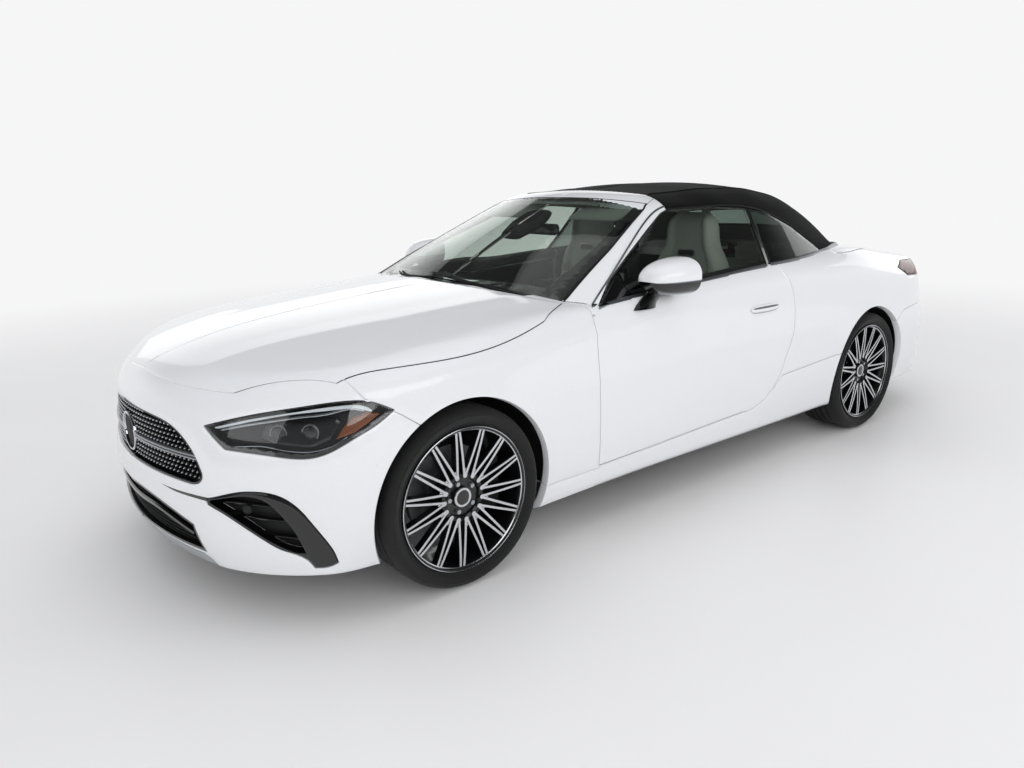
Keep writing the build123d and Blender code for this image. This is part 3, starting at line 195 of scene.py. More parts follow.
def body_profile(row):
    half_width, z_wide, y_sill, z_sill, y_up, z_up, y_top, z_top, z_crown = row
    over = ((y_up + y_top) / 2 + (z_top - z_up) * SHOULDER_BULGE,
            (z_up + z_top) / 2 + (y_up - y_top) * SHOULDER_BULGE)
    return np.concatenate((trace(((0, z_sill), (y_sill, z_sill))),
                           round_through((y_sill, z_sill), (half_width, z_wide), (y_up, z_up), 60),
                           round_through((y_up, z_up), over, (y_top, z_top), 30),
                           round_through((y_top, z_top), (0, z_crown), (-y_top, z_top), 120)[:60]))


def end_profile(row):
    centre, at_mid, corner_x, corner_y, side_x, side_y = row
    across = round_through((at_mid, -END_MID_Y), (centre, 0), (at_mid, END_MID_Y), 120)[59:]
    return np.concatenate((across, round_through((at_mid, END_MID_Y), (corner_x, corner_y), (side_x, side_y),
                                                 60),
                           trace(((side_x, side_y), (NOSE_HEART_X, 1000)))))


def roof_profile(row):
    z_crown, y_roof, z_roof, y_mid, z_mid, y_edge, z_edge, y_base = row
    return np.concatenate((trace(((y_base, TOP_HEART_Z), (y_edge, z_edge))),
                           round_through((y_edge, z_edge), (y_mid, z_mid), (y_roof, z_roof), 40),
                           round_through((y_roof, z_roof), (0, z_crown), (-y_roof, z_roof), 120)[:60]))


def screen_profile(row):
    screen_x, corner_x, corner_y, pillar_x, pillar_y, rear_side_x, mid_x, mid_y, arc_x, arc_y, rear_x = row
    ahead = round_through((corner_x, -corner_y), (screen_x, 0), (corner_x, corner_y), 80)[39:]
    behind = round_through((arc_x, arc_y), (rear_x, 0), (arc_x, -arc_y), 80)[:40]
    return np.concatenate((ahead, trace(((corner_x, corner_y), (pillar_x, pillar_y), (pillar_x - 60, 1000),
                                         (rear_side_x, 1000))),
                           round_through((rear_side_x, 1000), (mid_x, mid_y), (arc_x, arc_y), 60), behind))


class PolarTable:
    """Distance from a straight heart line to the surface, by station along it and by turn about it."""

    def __init__(self, sections, profile, stations, turns, heart, soften):
        self.stations, self.turns = stations, turns
        rows = spline(sections[:, 0], sections[:, 1:], stations)
        self.reach = np.empty((len(stations), len(turns)))
        for line, row in enumerate(rows):
            points = profile(row) - heart
            turn, reach = np.arctan2(points[:, 1], points[:, 0]), np.hypot(points[:, 0], points[:, 1])
            order = np.argsort(turn)
            values = np.interp(turns, turn[order], reach[order])
            padded = np.concatenate((values[soften:0:-1], values, values[-2:-soften - 2:-1]))
            hat = np.hanning(2 * soften + 3)[1:-1]
            self.reach[line] = np.convolve(padded, hat / hat.sum(), "valid")

    def read(self, station, turn):
        u = (station - self.stations[0]) / (self.stations[1] - self.stations[0])
        v = (turn - self.turns[0]) / (self.turns[1] - self.turns[0])
        u, v = np.clip(u, 0, len(self.stations) - 1.001), np.clip(v, 0, len(self.turns) - 1.001)
        i, j = u.astype(int), v.astype(int)
        u, v = u - i, v - j
        t = self.reach
        return ((t[i, j] * (1 - u) + t[i + 1, j] * u) * (1 - v)
                + (t[i, j + 1] * (1 - u) + t[i + 1, j + 1] * u) * v)


def soft_max(a, b, width):
    share = np.clip(0.5 + 0.5 * (a - b) / width, 0, 1)
    return b + (a - b) * share + width * share * (1 - share)


class Skin:
    """A closed surface of two families of sections, with the edge between them softened."""

    def __init__(self, depth, relief):
        self.depth, self.relief = depth, relief

    def reach(self, start, ahead, far=2600.0):
        near, far = np.zeros(len(start)), np.full(len(start), far)
        for _ in range(26):
            middle = (near + far) / 2
            inside = self.depth(start + ahead * middle[:, None]) < 0
            near, far = np.where(inside, middle, near), np.where(inside, far, middle)
        return near

    def lift(self, view, points):
        """Outline points seen from a side, put on the surface."""
        a, b, zero = points[:, 0], points[:, 1], np.zeros(len(points))
        start, ahead = {
            "side": ((a, zero, b), (0, 1, 0)),
            "plan": ((a, b, zero + (700 if self is body else 930)), (0, 0, 1)),
            "front": ((zero + (NOSE_HEART_X if self is body else TOP_HEART_X), a, b), (1, 0, 0)),
            "back": ((zero + (-NOSE_HEART_X if self is body else TOP_HEART_X), a, b), (-1, 0, 0)),
        }[view]
        start, ahead = np.column_stack(start), np.broadcast_to(np.array(ahead, float), (len(points), 3))
        return start + ahead * self.reach(start, ahead)[:, None]


body_ring = PolarTable(BODY_SECTIONS, body_profile, np.arange(-2440, 2441, 10.0),
                       np.radians(np.arange(-90, 90.1, 0.25)), (0, BODY_HEART_Z), 8)
nose_plan = PolarTable(END_SECTIONS[:, :7], end_profile, np.arange(110, 1101, 5.0),
                       np.radians(np.arange(0, 90.1, 0.25)), (NOSE_HEART_X, 0), 8)
tail_plan = PolarTable(END_SECTIONS[:, (0, 7, 8, 9, 10, 11, 12)] * (1, -1, -1, -1, 1, -1, 1), end_profile,
                       np.arange(110, 1101, 5.0), np.radians(np.arange(0, 90.1, 0.25)), (NOSE_HEART_X, 0), 8)
roof_ring = PolarTable(ROOF_SECTIONS, roof_profile, np.arange(-1760, 1121, 10.0),
                       np.radians(np.arange(0, 90.1, 0.25)), (0, TOP_HEART_Z), 6)
screen_plan = PolarTable(SCREEN_SECTIONS, screen_profile, np.arange(880, 1451, 5.0),
                         np.radians(np.arange(0, 180.1, 0.25)), (TOP_HEART_X, 0), 4)


def body_depth(p):
    x, y, z = p[:, 0], np.abs(p[:, 1]), p[:, 2]
    side = np.hypot(y, z - BODY_HEART_Z) - body_ring.read(x, np.arctan2(z - BODY_HEART_Z, y))
    ends = np.full(len(p), -500.0)
    for sign, plan in ((1, nose_plan), (-1, tail_plan)):
        ahead = sign * x - NOSE_HEART_X
        measured = np.hypot(ahead, y) - plan.read(z, np.arctan2(y, ahead))
        ends = np.where(ahead > 0, measured, ends)
    return soft_max(side, ends, 26.0)


def top_depth(p):
    x, y, z = p[:, 0], np.abs(p[:, 1]), p[:, 2]
    side = np.hypot(y, z - TOP_HEART_Z) - roof_ring.read(x, np.arctan2(z - TOP_HEART_Z, y))
    plan = np.hypot(x - TOP_HEART_X, y) - screen_plan.read(z, np.arctan2(y, x - TOP_HEART_X))
    return soft_max(side, plan, 12.0)


def ridge(distance, width, height):
    """A pressed line: sharp at its top, easing out to each side."""
    return height * np.clip(1 - np.abs(distance) / width, 0, 1) ** 1.6


def step_between(value, low, high):
    t = np.clip((value - low) / (high - low), 0, 1)
    return t * t * (3 - 2 * t)


def body_relief(p):
    """The pressed lines and flares of the panels, outwards from the plain sections."""
    x, y, z = p[:, 0], np.abs(p[:, 1]), p[:, 2]
    on_side = step_between(y, 820, 860)
    lower = np.interp(x, (-1300, -750, -203, 257, 624, 1103, 1500), (660, 676, 689, 688, 675, 666, 655))
    out = ridge(z - lower, 55, 3.0) * on_side * step_between(x, -1000, -800) * (1 - step_between(x, 1050, 1200))
    upper = np.interp(x, (-300, 470, 815, 1086, 1700, 2100), (885, 876, 857, 848, 815, 770))
    out += ridge(z - upper, 45, 3.0) * on_side * step_between(x, 100, 500) * (1 - step_between(x, 1900, 2150))
    for axle_x in (FRONT_AXLE_X, REAR_AXLE_X):
        from_lip = np.hypot(x - axle_x, z - WHEEL_Z) - ARCH_LIP
        out += 4.5 * np.exp(-np.abs(from_lip) / 26) * on_side
    dome = np.interp(x, (950, 1540, 2200), (520, 470, 330))
    on_top = step_between(z, 780, 840) * step_between(x, 950, 1050) * (1 - step_between(x, 2150, 2290))
    out += ridge(y - dome, 120, 4.0) * on_top
    return out


BOWS_X = (-985.0, -620.0, -260.0, 95.0)         # the hoops that carry the canvas
CANVAS_SAG = 4.0


def canvas_relief(p):
    """The canvas sinks a little between its bows."""
    bay = np.interp(p[:, 0], BOWS_X, range(len(BOWS_X)))
    return -CANVAS_SAG * np.sin(np.pi * bay) ** 2 * step_between(p[:, 2], 1290, 1345)


body = Skin(body_depth, body_relief)
top = Skin(top_depth, canvas_relief)


class Chart:
    """Flattens a surface: distance along a heart line, and turn about it as a length."""

    def __init__(self, skin, heart, along, first, second, size):
        self.skin, self.size = skin, size
        self.heart, self.along, self.first, self.second = (
            np.array(v, float) for v in (heart, along, first, second))
        self.base = 0.0

    def sunk(self, base):
        """The same chart, lying base deeper."""
        lower = copy.copy(self)
        lower.base = base
        return lower

    def flat(self, p):
        q = p - self.heart
        return np.column_stack((q @ self.along, np.arctan2(q @ self.second, q @ self.first) * self.size))

    def solid(self, q, sink=0.0):
        """Points of the surface, sunk towards the heart line, and their outward directions."""
        turn = q[:, 1] / self.size
        start = self.heart + self.along * q[:, :1]
        ahead = np.cos(turn)[:, None] * self.first + np.sin(turn)[:, None] * self.second
        reach = self.skin.reach(start, ahead)
        reach = reach + self.skin.relief(start + ahead * reach[:, None]) - sink - self.base
        return start + ahead * reach[:, None], ahead

    def under(self, points, sink=0.0):
        """Points near the surface, moved onto it and sunk, and their outward directions."""
        return self.solid(self.flat(np.asarray(points, float)), sink)


side_chart = Chart(body, (0, 0, BODY_HEART_Z), (1, 0, 0), (0, 1, 0), (0, 0, 1), 700.0)
nose_chart = Chart(body, (NOSE_HEART_X, 0, 0), (0, 0, 1), (1, 0, 0), (0, 1, 0), 800.0)
tail_chart = Chart(body, (-NOSE_HEART_X, 0, 0), (0, 0, 1), (-1, 0, 0), (0, 1, 0), 800.0)
lid_chart = Chart(body, (-1700, 0, 560), (0, 1, 0), (0, 0, 1), (-1, 0, 0), 500.0)
top_chart = Chart(top, (0, 0, TOP_HEART_Z), (1, 0, 0), (0, 1, 0), (0, 0, 1), 500.0)


def slant_flat(p, turn):
    return np.column_stack((-p[:, 0] * math.sin(turn) + np.abs(p[:, 1]) * math.cos(turn), p[:, 2]))


def slant_lift(points, turn):
    """Lamp outlines are seen along a level line that is turned from straight ahead."""
    flat = slant_flat(np.asarray(points, float), turn)
    ahead = np.array((math.cos(turn), math.sin(turn), 0))
    start = np.column_stack((-flat[:, 0] / math.sin(turn), np.zeros(len(flat)), flat[:, 1]))
    ahead = np.broadcast_to(ahead, start.shape)
    return start + ahead * body.reach(start, ahead)[:, None]


def inside(outline, points):
    """Which points lie in a closed outline."""
    low, high = outline.min(0), outline.max(0)
    near = np.all((points >= low) & (points <= high), axis=1)
    x, y = points[near, 0], points[near, 1]
    found = np.zeros(len(x), bool)
    for (ax, ay), (bx, by) in zip(outline, np.roll(outline, -1, axis=0)):
        if ay != by:
            crosses = (ay > y) != (by > y)
            found ^= crosses & (x < (bx - ax) * (y - ay) / (by - ay) + ax)
    result = np.zeros(len(points), bool)
    result[near] = found
    return result


class Sheet:
    """Fine triangles over the part of a chart in its edge, with every given line as edges of theirs."""

    def __init__(self, chart, edge, lines, spacing):
        self.chart = chart
        lines = [chart.flat(part) for line in lines for part in stretches(line)]
        lines.append(np.concatenate((edge, edge[:1])))
        verts, edges = [], []
        for line in lines:
            edges += [(len(verts) + i, len(verts) + i + 1) for i in range(len(line) - 1)]
            verts += [tuple(p) for p in line]
        low, high = edge.min(0), edge.max(0)
        columns = np.arange(low[0], high[0], spacing)
        rows = np.arange(low[1], high[1], spacing * 0.87)
        grid = np.stack(np.meshgrid(columns, rows), axis=-1)
        grid[1::2, :, 0] += spacing / 2
        grid = grid.reshape(-1, 2)
        grid = grid[inside(edge, grid)]
        cell = spacing * 0.42
        taken = np.zeros((int((high[0] - low[0]) / cell) + 4, int((high[1] - low[1]) / cell) + 4), bool)
        for line in lines:
            fine = np.concatenate([line[:-1] + (line[1:] - line[:-1]) * t for t in (0, 0.25, 0.5, 0.75)])
            i, j = ((fine - low) / cell + 1).astype(int).T
            keep = (i > 0) & (j > 0) & (i < taken.shape[0] - 1) & (j < taken.shape[1] - 1)
            i, j = i[keep], j[keep]
            for di in (-1, 0, 1):
                for dj in (-1, 0, 1):
                    taken[i + di, j + dj] = True
        i, j = ((grid - low) / cell + 1).astype(int).T
        grid = grid[~taken[i, j]]
        verts += [tuple(p) for p in grid]
        result = delaunay_2d_cdt([Vector(v) for v in verts], edges, [], 0, 1e-5, False)
        self.verts = np.array([tuple(v) for v in result[0]])
        self.tris = np.array([f for f in result[2] if len(f) == 3])
        middles = self.verts[self.tris].mean(axis=1)
        self.within = inside(edge, middles)
        self.places = chart.solid(middles)[0]

    def seen(self, view):
        x, y, z = self.places[:, 0], np.abs(self.places[:, 1]), self.places[:, 2]
        return np.column_stack({"side": (x, z), "plan": (x, y), "front": (y, z)}[view])

    def drawn(self, outline, view):
        """Which triangles lie inside an outline drawn on one view."""
        return inside(trace(outline), self.seen(view))

    def slanted(self, line, turn):
        """Which triangles lie inside a line that is seen along a slant."""
        return inside(slant_flat(line, turn), slant_flat(self.places, turn))

    def in_arch(self, axle_x):
        x, z = self.seen("side").T
        return np.hypot(x - axle_x, z - WHEEL_Z) < ARCH_LIP


# ---- meshes
def put(name, verts, faces, material, smooth=40.0):
    """A mesh object from millimetres."""
    mesh = bpy.data.meshes.new(name)
    mesh.from_pydata(np.asarray(verts, float) * MM, [], [tuple(int(i) for i in f) for f in faces])
    mesh.validate()
    mesh.shade_smooth()
    if smooth:
        mesh.set_sharp_from_angle(angle=math.radians(smooth))
    piece = bpy.data.objects.new(name, mesh)
    bpy.context.scene.collection.objects.link(piece)
    mesh.materials.append(material)
    return piece


def join(parts):
    """Several meshes, each (verts, faces), as one."""
    verts, faces, start = [], [], 0
    for v, f in parts:
        verts.append(np.asarray(v, float).reshape(-1, 3))
        faces += [tuple(i + start for i in face) for face in f]
        start += len(v)
    return np.concatenate(verts), faces


def other_side(part):
    verts, faces = part
    return np.asarray(verts) * (1, -1, 1), [tuple(reversed(f)) for f in faces]


def panel_shape(sheet, keep, gap=2.0, lip=2.4, depth=PANEL_DEPTH, wall=None, across=False):
    """A pressed panel: its outer skin with rolled edges, walls and an inner skin.

    The edge stands gap inside its outline. across joins the panel to its reflection on the middle line."""
    chart = sheet.chart
    used, tris = np.unique(sheet.tris[keep & sheet.within], return_inverse=True)
    tris = tris.reshape(-1, 3)
    flat = sheet.verts[used]
    a, b, c = (flat[tris[:, i]] for i in range(3))
    turned = (b[:, 0] - a[:, 0]) * (c[:, 1] - a[:, 1]) - (b[:, 1] - a[:, 1]) * (c[:, 0] - a[:, 0]) < 0
    tris[turned] = tris[turned][:, ::-1]
    edges = np.concatenate((tris[:, (0, 1)], tris[:, (1, 2)], tris[:, (2, 0)]))
    keys = np.sort(edges, axis=1)
    _, index, counts = np.unique(keys, axis=0, return_index=True, return_counts=True)
    rim = edges[index[counts == 1]]
    on_surface = chart.solid(flat)[0]
    middle = (np.abs(on_surface[:, 1]) < 0.6) & across
    rim = rim[~(middle[rim[:, 0]] & middle[rim[:, 1]])]
    inward = np.zeros_like(flat)
    run = flat[rim[:, 1]] - flat[rim[:, 0]]
    run /= np.linalg.norm(run, axis=1)[:, None] + 1e-9
    left = np.column_stack((-run[:, 1], run[:, 0]))
    np.add.at(inward, rim[:, 0], left)
    np.add.at(inward, rim[:, 1], left)
    size = np.linalg.norm(inward, axis=1)
    on_rim = size > 1e-6
    inward[on_rim] /= size[on_rim][:, None]
    inward[on_rim] *= np.minimum(2 / np.maximum(size[on_rim], 0.8), 1.8)[:, None]
    face, _ = chart.solid(flat + inward * (gap + lip))
    edge_ids = np.flatnonzero(on_rim)
    place = np.full(len(flat), -1)
    place[edge_ids] = np.arange(len(edge_ids))
    at_rim = flat[edge_ids], inward[edge_ids]
    rings = []
    for share_in, share_down in ((0.29, 0.29), (0.0, 1.0)):
        rings.append(chart.solid(at_rim[0] + at_rim[1] * (gap + lip * share_in), lip * share_down)[0])
    outward = chart.solid(at_rim[0] + at_rim[1] * gap)[1]
    if wall:
        rings.append(wall(rings[-1]))
        inner = wall(chart.solid(flat)[0])
    else:
        rings.append(rings[1] - outward * (depth - lip))
        inner = chart.solid(flat, depth)[0]
    inner[edge_ids] = rings[-1]
    count = len(flat)
    verts = [face, *rings]
    starts = [count + i * len(edge_ids) for i in range(len(rings))]
    faces = [tuple(t) for t in tris]
    for u, v in rim:
        above = (u, v)
        for start in starts:
            below = (start + place[u], start + place[v])
            faces.append((above[1], above[0], below[0], below[1]))
            above = below
    inner_id = np.where(on_rim, starts[-1] + place, -1)
    free = np.flatnonzero(~on_rim)
    inner_id[free] = starts[-1] + len(edge_ids) + np.arange(len(free))
    verts.append(inner[free])
    faces += [tuple(inner_id[t[::-1]]) for t in tris]
    verts = np.concatenate(verts)
    a, b, c = (face[tris[:, i]] for i in range(3))
    if np.einsum("ij,ij->", np.cross(b - a, c - a), (a + b + c) / 3 - chart.heart) < 0:
        faces = [f[::-1] for f in faces]
    if across:
        own_middle = np.abs(verts[:, 1]) < 0.6
        verts[own_middle, 1] = 0
        mirrored = np.where(own_middle, np.arange(len(verts)), len(verts) + np.cumsum(~own_middle) - 1)
        faces += [tuple(mirrored[list(f)][::-1]) for f in faces]
        verts = np.concatenate((verts, verts[~own_middle] * (1, -1, 1)))
    return verts, faces


# ---- where the panels meet, on the surface
def greenhouse_foot():
    """The line on which the top stands on the body."""
    turn = np.radians(np.arange(0, 180.1, 0.75))
    ahead = np.column_stack((np.cos(turn), np.sin(turn)))
    near, far = np.zeros(len(turn)), np.minimum(1900, 835 / np.maximum(np.sin(turn), 0.01))
    for _ in range(16):
        reach = (near + far) / 2
        plan = ahead * reach[:, None] + (TOP_HEART_X, 0)
        plan[:, 0] = np.clip(plan[:, 0], -2300, 2300)
        on_body = body.lift("plan", plan)
        within = top_depth(on_body) < 0
        near, far = np.where(within, reach, near), np.where(within, far, reach)
    return on_body


def trace_solid(points, step=12.0):
    """Even small steps along straight edges in space."""
    line = [np.array(points[:1], float)]
    for a, b in zip(points, points[1:]):
        share = np.linspace(0, 1, max(1, math.ceil(math.dist(a, b) / step)) + 1)[1:, None]
        line.append(np.array(a, float) * (1 - share) + np.array(b, float) * share)
    return np.concatenate(line)


LAMP_TURN = math.radians(45)
TAIL_TURN = math.radians(135)
foot = greenhouse_foot()
door_line = body.lift("side", trace(DOOR_OUTLINE))
door_line = door_line[(door_line[:, 1] > 700)]
sill_line = body.lift("side", trace(SILL_TOP))
bumper_line = body.lift("side", trace(BUMPER_SEAM))
rear_line = body.lift("side", trace(REAR_SEAM))
bonnet_line = body.lift("plan", trace(BONNET_OUTLINE))
lid_line = body.lift("plan", trace(LID_OUTLINE))
tonneau_line = body.lift("plan", trace(TONNEAU_OUTLINE[1:]))
headlamp_line = slant_lift(curves(*HEADLAMP_EDGES), LAMP_TURN)
tail_lamp_line = slant_lift(trace_solid(TAIL_LAMP_POINTS), TAIL_TURN)


def ring(centre_x, radius, count=150):
    turn = np.linspace(0, 2 * np.pi, count)
    return np.column_stack((centre_x + radius * np.cos(turn), WHEEL_Z + radius * np.sin(turn)))


arch_lines = []
for axle_x in (FRONT_AXLE_X, REAR_AXLE_X):
    circle = ring(axle_x, ARCH_LIP)
    arch_lines.append(body.lift("side", circle[circle[:, 1] > 195]))


def stretches(line, limit=80.0):
    """Splits a line where it jumps."""
    jumps = np.flatnonzero(np.linalg.norm(np.diff(line, axis=0), axis=1) > limit) + 1
    return [part for part in np.split(line, jumps) if len(part) > 1]


BONNET_REGION = (*BONNET_OUTLINE, (1033, -5), (2336, -5))
LID_REGION = (*LID_OUTLINE, (-2600, -5), (-1762, -5))
low_edge = np.column_stack((np.linspace(2335, -2300, 380), np.full(380, -0.472 * side_chart.size)))
UPRIGHT = math.pi / 2
side_edge = np.concatenate((low_edge, ((-2300, UPRIGHT * side_chart.size), (2345, UPRIGHT * side_chart.size),
                                       (2345, 100))))
body_sheet = Sheet(side_chart, side_edge, (
    foot, door_line, sill_line, bumper_line, rear_line, bonnet_line, lid_line[lid_line[:, 0] > -2290],
    tonneau_line,
    headlamp_line[headlamp_line[:, 0] < 2320], tail_lamp_line[tail_lamp_line[:, 0] > -2290], *arch_lines), 17.0)

place_x, height = body_sheet.seen("side").T
drawn = body_sheet.drawn
under_top = inside(np.concatenate((foot[:, :2], ((-1700, -5), (1200, -5)))), body_sheet.seen("plan"))
in_door = drawn((*DOOR_OUTLINE, (-398, 1300), (872, 1300), (872, 985)), "side")
in_sill = drawn((*SILL_TOP, (-1300, 100), (2000, 100), (2000, 290)), "side")
in_bumper = drawn((*BUMPER_SEAM, (2700, 905), (2700, 100), (1500, 100), (1500, 655)), "side")
in_rear = drawn((*REAR_SEAM, (-2700, 690), (-2700, 100), (-1500, 100), (-1500, 560)), "side")
in_bonnet = drawn(BONNET_REGION, "plan") & (height > 700)
in_lid = drawn(LID_REGION, "plan") & (height > LID_LOW_Z)
in_tonneau = drawn((*TONNEAU_OUTLINE, (-1800, -5), (-1100, -5)), "plan") & (height > 700)
in_headlamp = body_sheet.slanted(headlamp_line, LAMP_TURN) & (place_x > 1500)
in_tail_lamp = body_sheet.slanted(tail_lamp_line, TAIL_TURN) & (place_x < -1500)
outer = ~(under_top | in_headlamp | in_tail_lamp
          | body_sheet.in_arch(FRONT_AXLE_X) | body_sheet.in_arch(REAR_AXLE_X))
on_bonnet = in_bonnet & ~under_top
on_fender = outer & ~(in_door | in_sill | in_bumper | in_bonnet) & (place_x > 600) & (place_x < 2000)
on_fender &= body_sheet.places[:, 1] > 560
on_door = outer & in_door & ~in_bonnet
on_sill = outer & in_sill & ~in_door & (place_x < 1400) & (place_x > -1200)
on_tonneau = outer & in_tonneau & ~in_lid & ~in_door
on_quarter = outer & ~(in_door | in_sill | in_rear | in_tonneau | in_lid) & (place_x < -300)

# The nose: one sheet from the bonnet's edge down to the lip.
NOSE_LOW_Z = 197.0
LIP_LINE = ((0, 236), (350, 238), (480, 236), (512, 220), (530, 190))     # across, and z
GRILLE_SHAPE, CURTAIN_SHAPE, MOUTH_SHAPE = (
    curves(*edges) for edges in (GRILLE_EDGES, CURTAIN_EDGES, CURTAIN_MOUTH))
grille_line, curtain_line, mouth_line, intake_line, lip_line = (body.lift("front", shape) for shape in (
    GRILLE_SHAPE, CURTAIN_SHAPE, MOUTH_SHAPE, trace(INTAKE_OUTLINE), trace(LIP_LINE)))
front_arch, rear_arch = arch_lines


def chart_edge(chart, *corners):
    """The border of a sheet, in even steps between its corners: place on the heart line, and turn."""
    corners = [(place, turn * chart.size) for place, turn in corners]
    return trace((*corners, corners[0]))[:-1]


nose_edge = chart_edge(nose_chart, (NOSE_LOW_Z, 0), (NOSE_LOW_Z, 1.30), (920, 1.30), (920, 0))
nose_sheet = Sheet(nose_chart, nose_edge, (
    grille_line, intake_line, curtain_line, mouth_line, headlamp_line, bumper_line,
    bonnet_line[bonnet_line[:, 0] > 1900], front_arch[front_arch[:, 0] > 1620], lip_line), 15.0)
place_x = nose_sheet.places[:, 0]
across, height = nose_sheet.seen("front").T
drawn = nose_sheet.drawn
nose_bonnet = drawn(BONNET_REGION, "plan")
nose_lamp = nose_sheet.slanted(headlamp_line, LAMP_TURN)
nose_grille = inside(np.concatenate((GRILLE_SHAPE, ((-5, 484), (-5, 697)))), nose_sheet.seen("front"))
nose_intake = drawn((*INTAKE_OUTLINE, (-5, 240), (-5, 392), (0, 392)), "front")
nose_curtain, nose_mouth = (inside(shape, nose_sheet.seen("front")) & (place_x > 1985)
                            for shape in (CURTAIN_SHAPE, MOUTH_SHAPE))
above_lip = height > np.interp(across, *np.array(LIP_LINE).T)
on_nose = drawn((*BUMPER_SEAM, (2700, 905), (2700, 100), (1500, 100), (1500, 560), (1680, 622)), "side")
on_nose &= above_lip & (place_x > 1640) & ~nose_sheet.in_arch(FRONT_AXLE_X)
on_nose &= ~(nose_bonnet | nose_lamp | nose_grille | nose_intake | nose_curtain)
on_lip = ~above_lip & (across < 530) & (place_x > 2050)

# The tail: the bumper below the seam, and the lid on its own chart.
TAIL_LOW_Z = 215.0
PLATE_OUTLINE = ((0, 640), (270, 640), (282, 628), (262, 520), (248, 508), (0, 508))
DIFFUSER_OUTLINE = ((0, 420), (430, 410), (560, 372), (650, 300), (690, 215), (0, 215))
plate_line = body.lift("back", trace(PLATE_OUTLINE))
diffuser_line = body.lift("back", trace(DIFFUSER_OUTLINE[:-1]))
tail_edge = chart_edge(tail_chart, (TAIL_LOW_Z, 0), (TAIL_LOW_Z, 1.38), (960, 1.38), (960, 0))
lid_bottom = body.lift("back", trace(((0, LID_LOW_Z), (600, LID_LOW_Z), (638, LID_LOW_Z + 25),
                                      (645, LID_LOW_Z + 40))))
tail_sheet = Sheet(tail_chart, tail_edge, (
    rear_line, lid_bottom, plate_line, diffuser_line, tail_lamp_line,
    rear_arch[rear_arch[:, 0] < -1400]), 16.0)
across, height = tail_sheet.seen("front").T
drawn = tail_sheet.drawn
tail_lid = (across < 640) & (height > LID_LOW_Z)
tail_plate = drawn((*PLATE_OUTLINE, (-5, 508), (-5, 640), (0, 640)), "front")
tail_diffuser = drawn((*DIFFUSER_OUTLINE, (-5, 215), (-5, 420), (0, 420)), "front")
tail_diffuser &= tail_sheet.places[:, 0] < -2000
on_tail = drawn((*REAR_SEAM, (-2700, 690), (-2700, 100), (-1500, 100), (-1500, 520), (-1540, 560)), "side")
on_tail &= ~(tail_lid | tail_plate | tail_diffuser | tail_sheet.in_arch(REAR_AXLE_X))
tail_lamp_cap = tail_sheet.slanted(tail_lamp_line, TAIL_TURN)

lid_edge = chart_edge(lid_chart, (0, -0.25), (680, -0.25), (680, 1.47), (0, 1.47))
lid_low = body.lift("back", trace(((0, LID_LOW_Z), (600, LID_LOW_Z), (632, LID_LOW_Z + 8),
                                   (640, LID_LOW_Z + 40))))
lid_sheet = Sheet(lid_chart, lid_edge, (lid_line[lid_line[:, 2] > 700], lid_low, tail_lamp_line), 15.0)
on_lid = lid_sheet.drawn(LID_REGION, "plan") & (lid_sheet.places[:, 2] > LID_LOW_Z)
lid_lamp = lid_sheet.slanted(tail_lamp_line, TAIL_TURN) & (lid_sheet.places[:, 2] > 700)

# ---- the top's sheet
screen_line, header_line, door_glass_line, quarter_line, rear_window_line = (
    top.lift(view, trace(outline)) for view, outline in (
        ("front", SCREEN_OUTLINE), ("side", HEADER_SEAM), ("side", DOOR_GLASS), ("side", QUARTER_GLASS),
        ("back", REAR_WINDOW)))
top_edge = np.concatenate((np.column_stack((np.linspace(1110, -1755, 200),
                                            np.full(200, 0.045 * top_chart.size))),
                           ((-1755, UPRIGHT * top_chart.size), (1110, UPRIGHT * top_chart.size))))
top_sheet = Sheet(top_chart, top_edge, (foot, screen_line, header_line, door_glass_line, quarter_line,
                                        rear_window_line), 15.0)
place_x = top_sheet.places[:, 0]
drawn = top_sheet.drawn
above_body = body_depth(top_sheet.places) > -6
glass_in_front = drawn((*SCREEN_OUTLINE, (-5, 1358), (-5, 900), (0, 900)), "front") & (place_x > 250)
glass_in_door, glass_in_quarter = drawn(DOOR_GLASS, "side"), drawn(QUARTER_GLASS, "side")
glass_behind = drawn((*REAR_WINDOW, (-5, 1150), (-5, 1300), (0, 1300)), "front") & (place_x < -900)
ahead_of_header = drawn((*HEADER_SEAM, (1400, 1480), (1400, 900), (700, 900)), "side")
on_frame = ahead_of_header & ~(glass_in_front | glass_in_door) & above_body
on_top = ~(ahead_of_header | glass_in_door | glass_in_quarter | glass_behind) & above_body


# ---- finishes
def linear(code):
    """An sRGB hex colour as linear values."""
    values = [int(code[i:i + 2], 16) / 255 for i in (0, 2, 4)]
    return (*(v / 12.92 if v <= 0.04045 else ((v + 0.055) / 1.055) ** 2.4 for v in values), 1.0)


def add(tree, kind, settings=None, links=None, **inputs):
    """Adds a node with its settings, its sockets' values and what its sockets are linked from.

    A value's socket is named, or is _ and a number. A link comes from a socket, or from a node's first one."""
    node = tree.nodes.new(kind)
    for name, value in (settings or {}).items():
        setattr(node, name, value)
    for name, value in inputs.items():
        key = int(name[1:]) if name[0] == "_" else name.replace("_", " ")
        node.inputs[key].default_value = value
    for name, source in (links or {}).items():
        source = source.outputs[0] if isinstance(source, bpy.types.Node) else source
        tree.links.new(source, node.inputs[name])
    return node


def finish(name, build):
    material = bpy.data.materials.new(name)
    material.use_nodes = True
    tree = material.node_tree
    tree.nodes.clear()
    add(tree, "ShaderNodeOutputMaterial", links={"Surface": build(tree)})
    return material


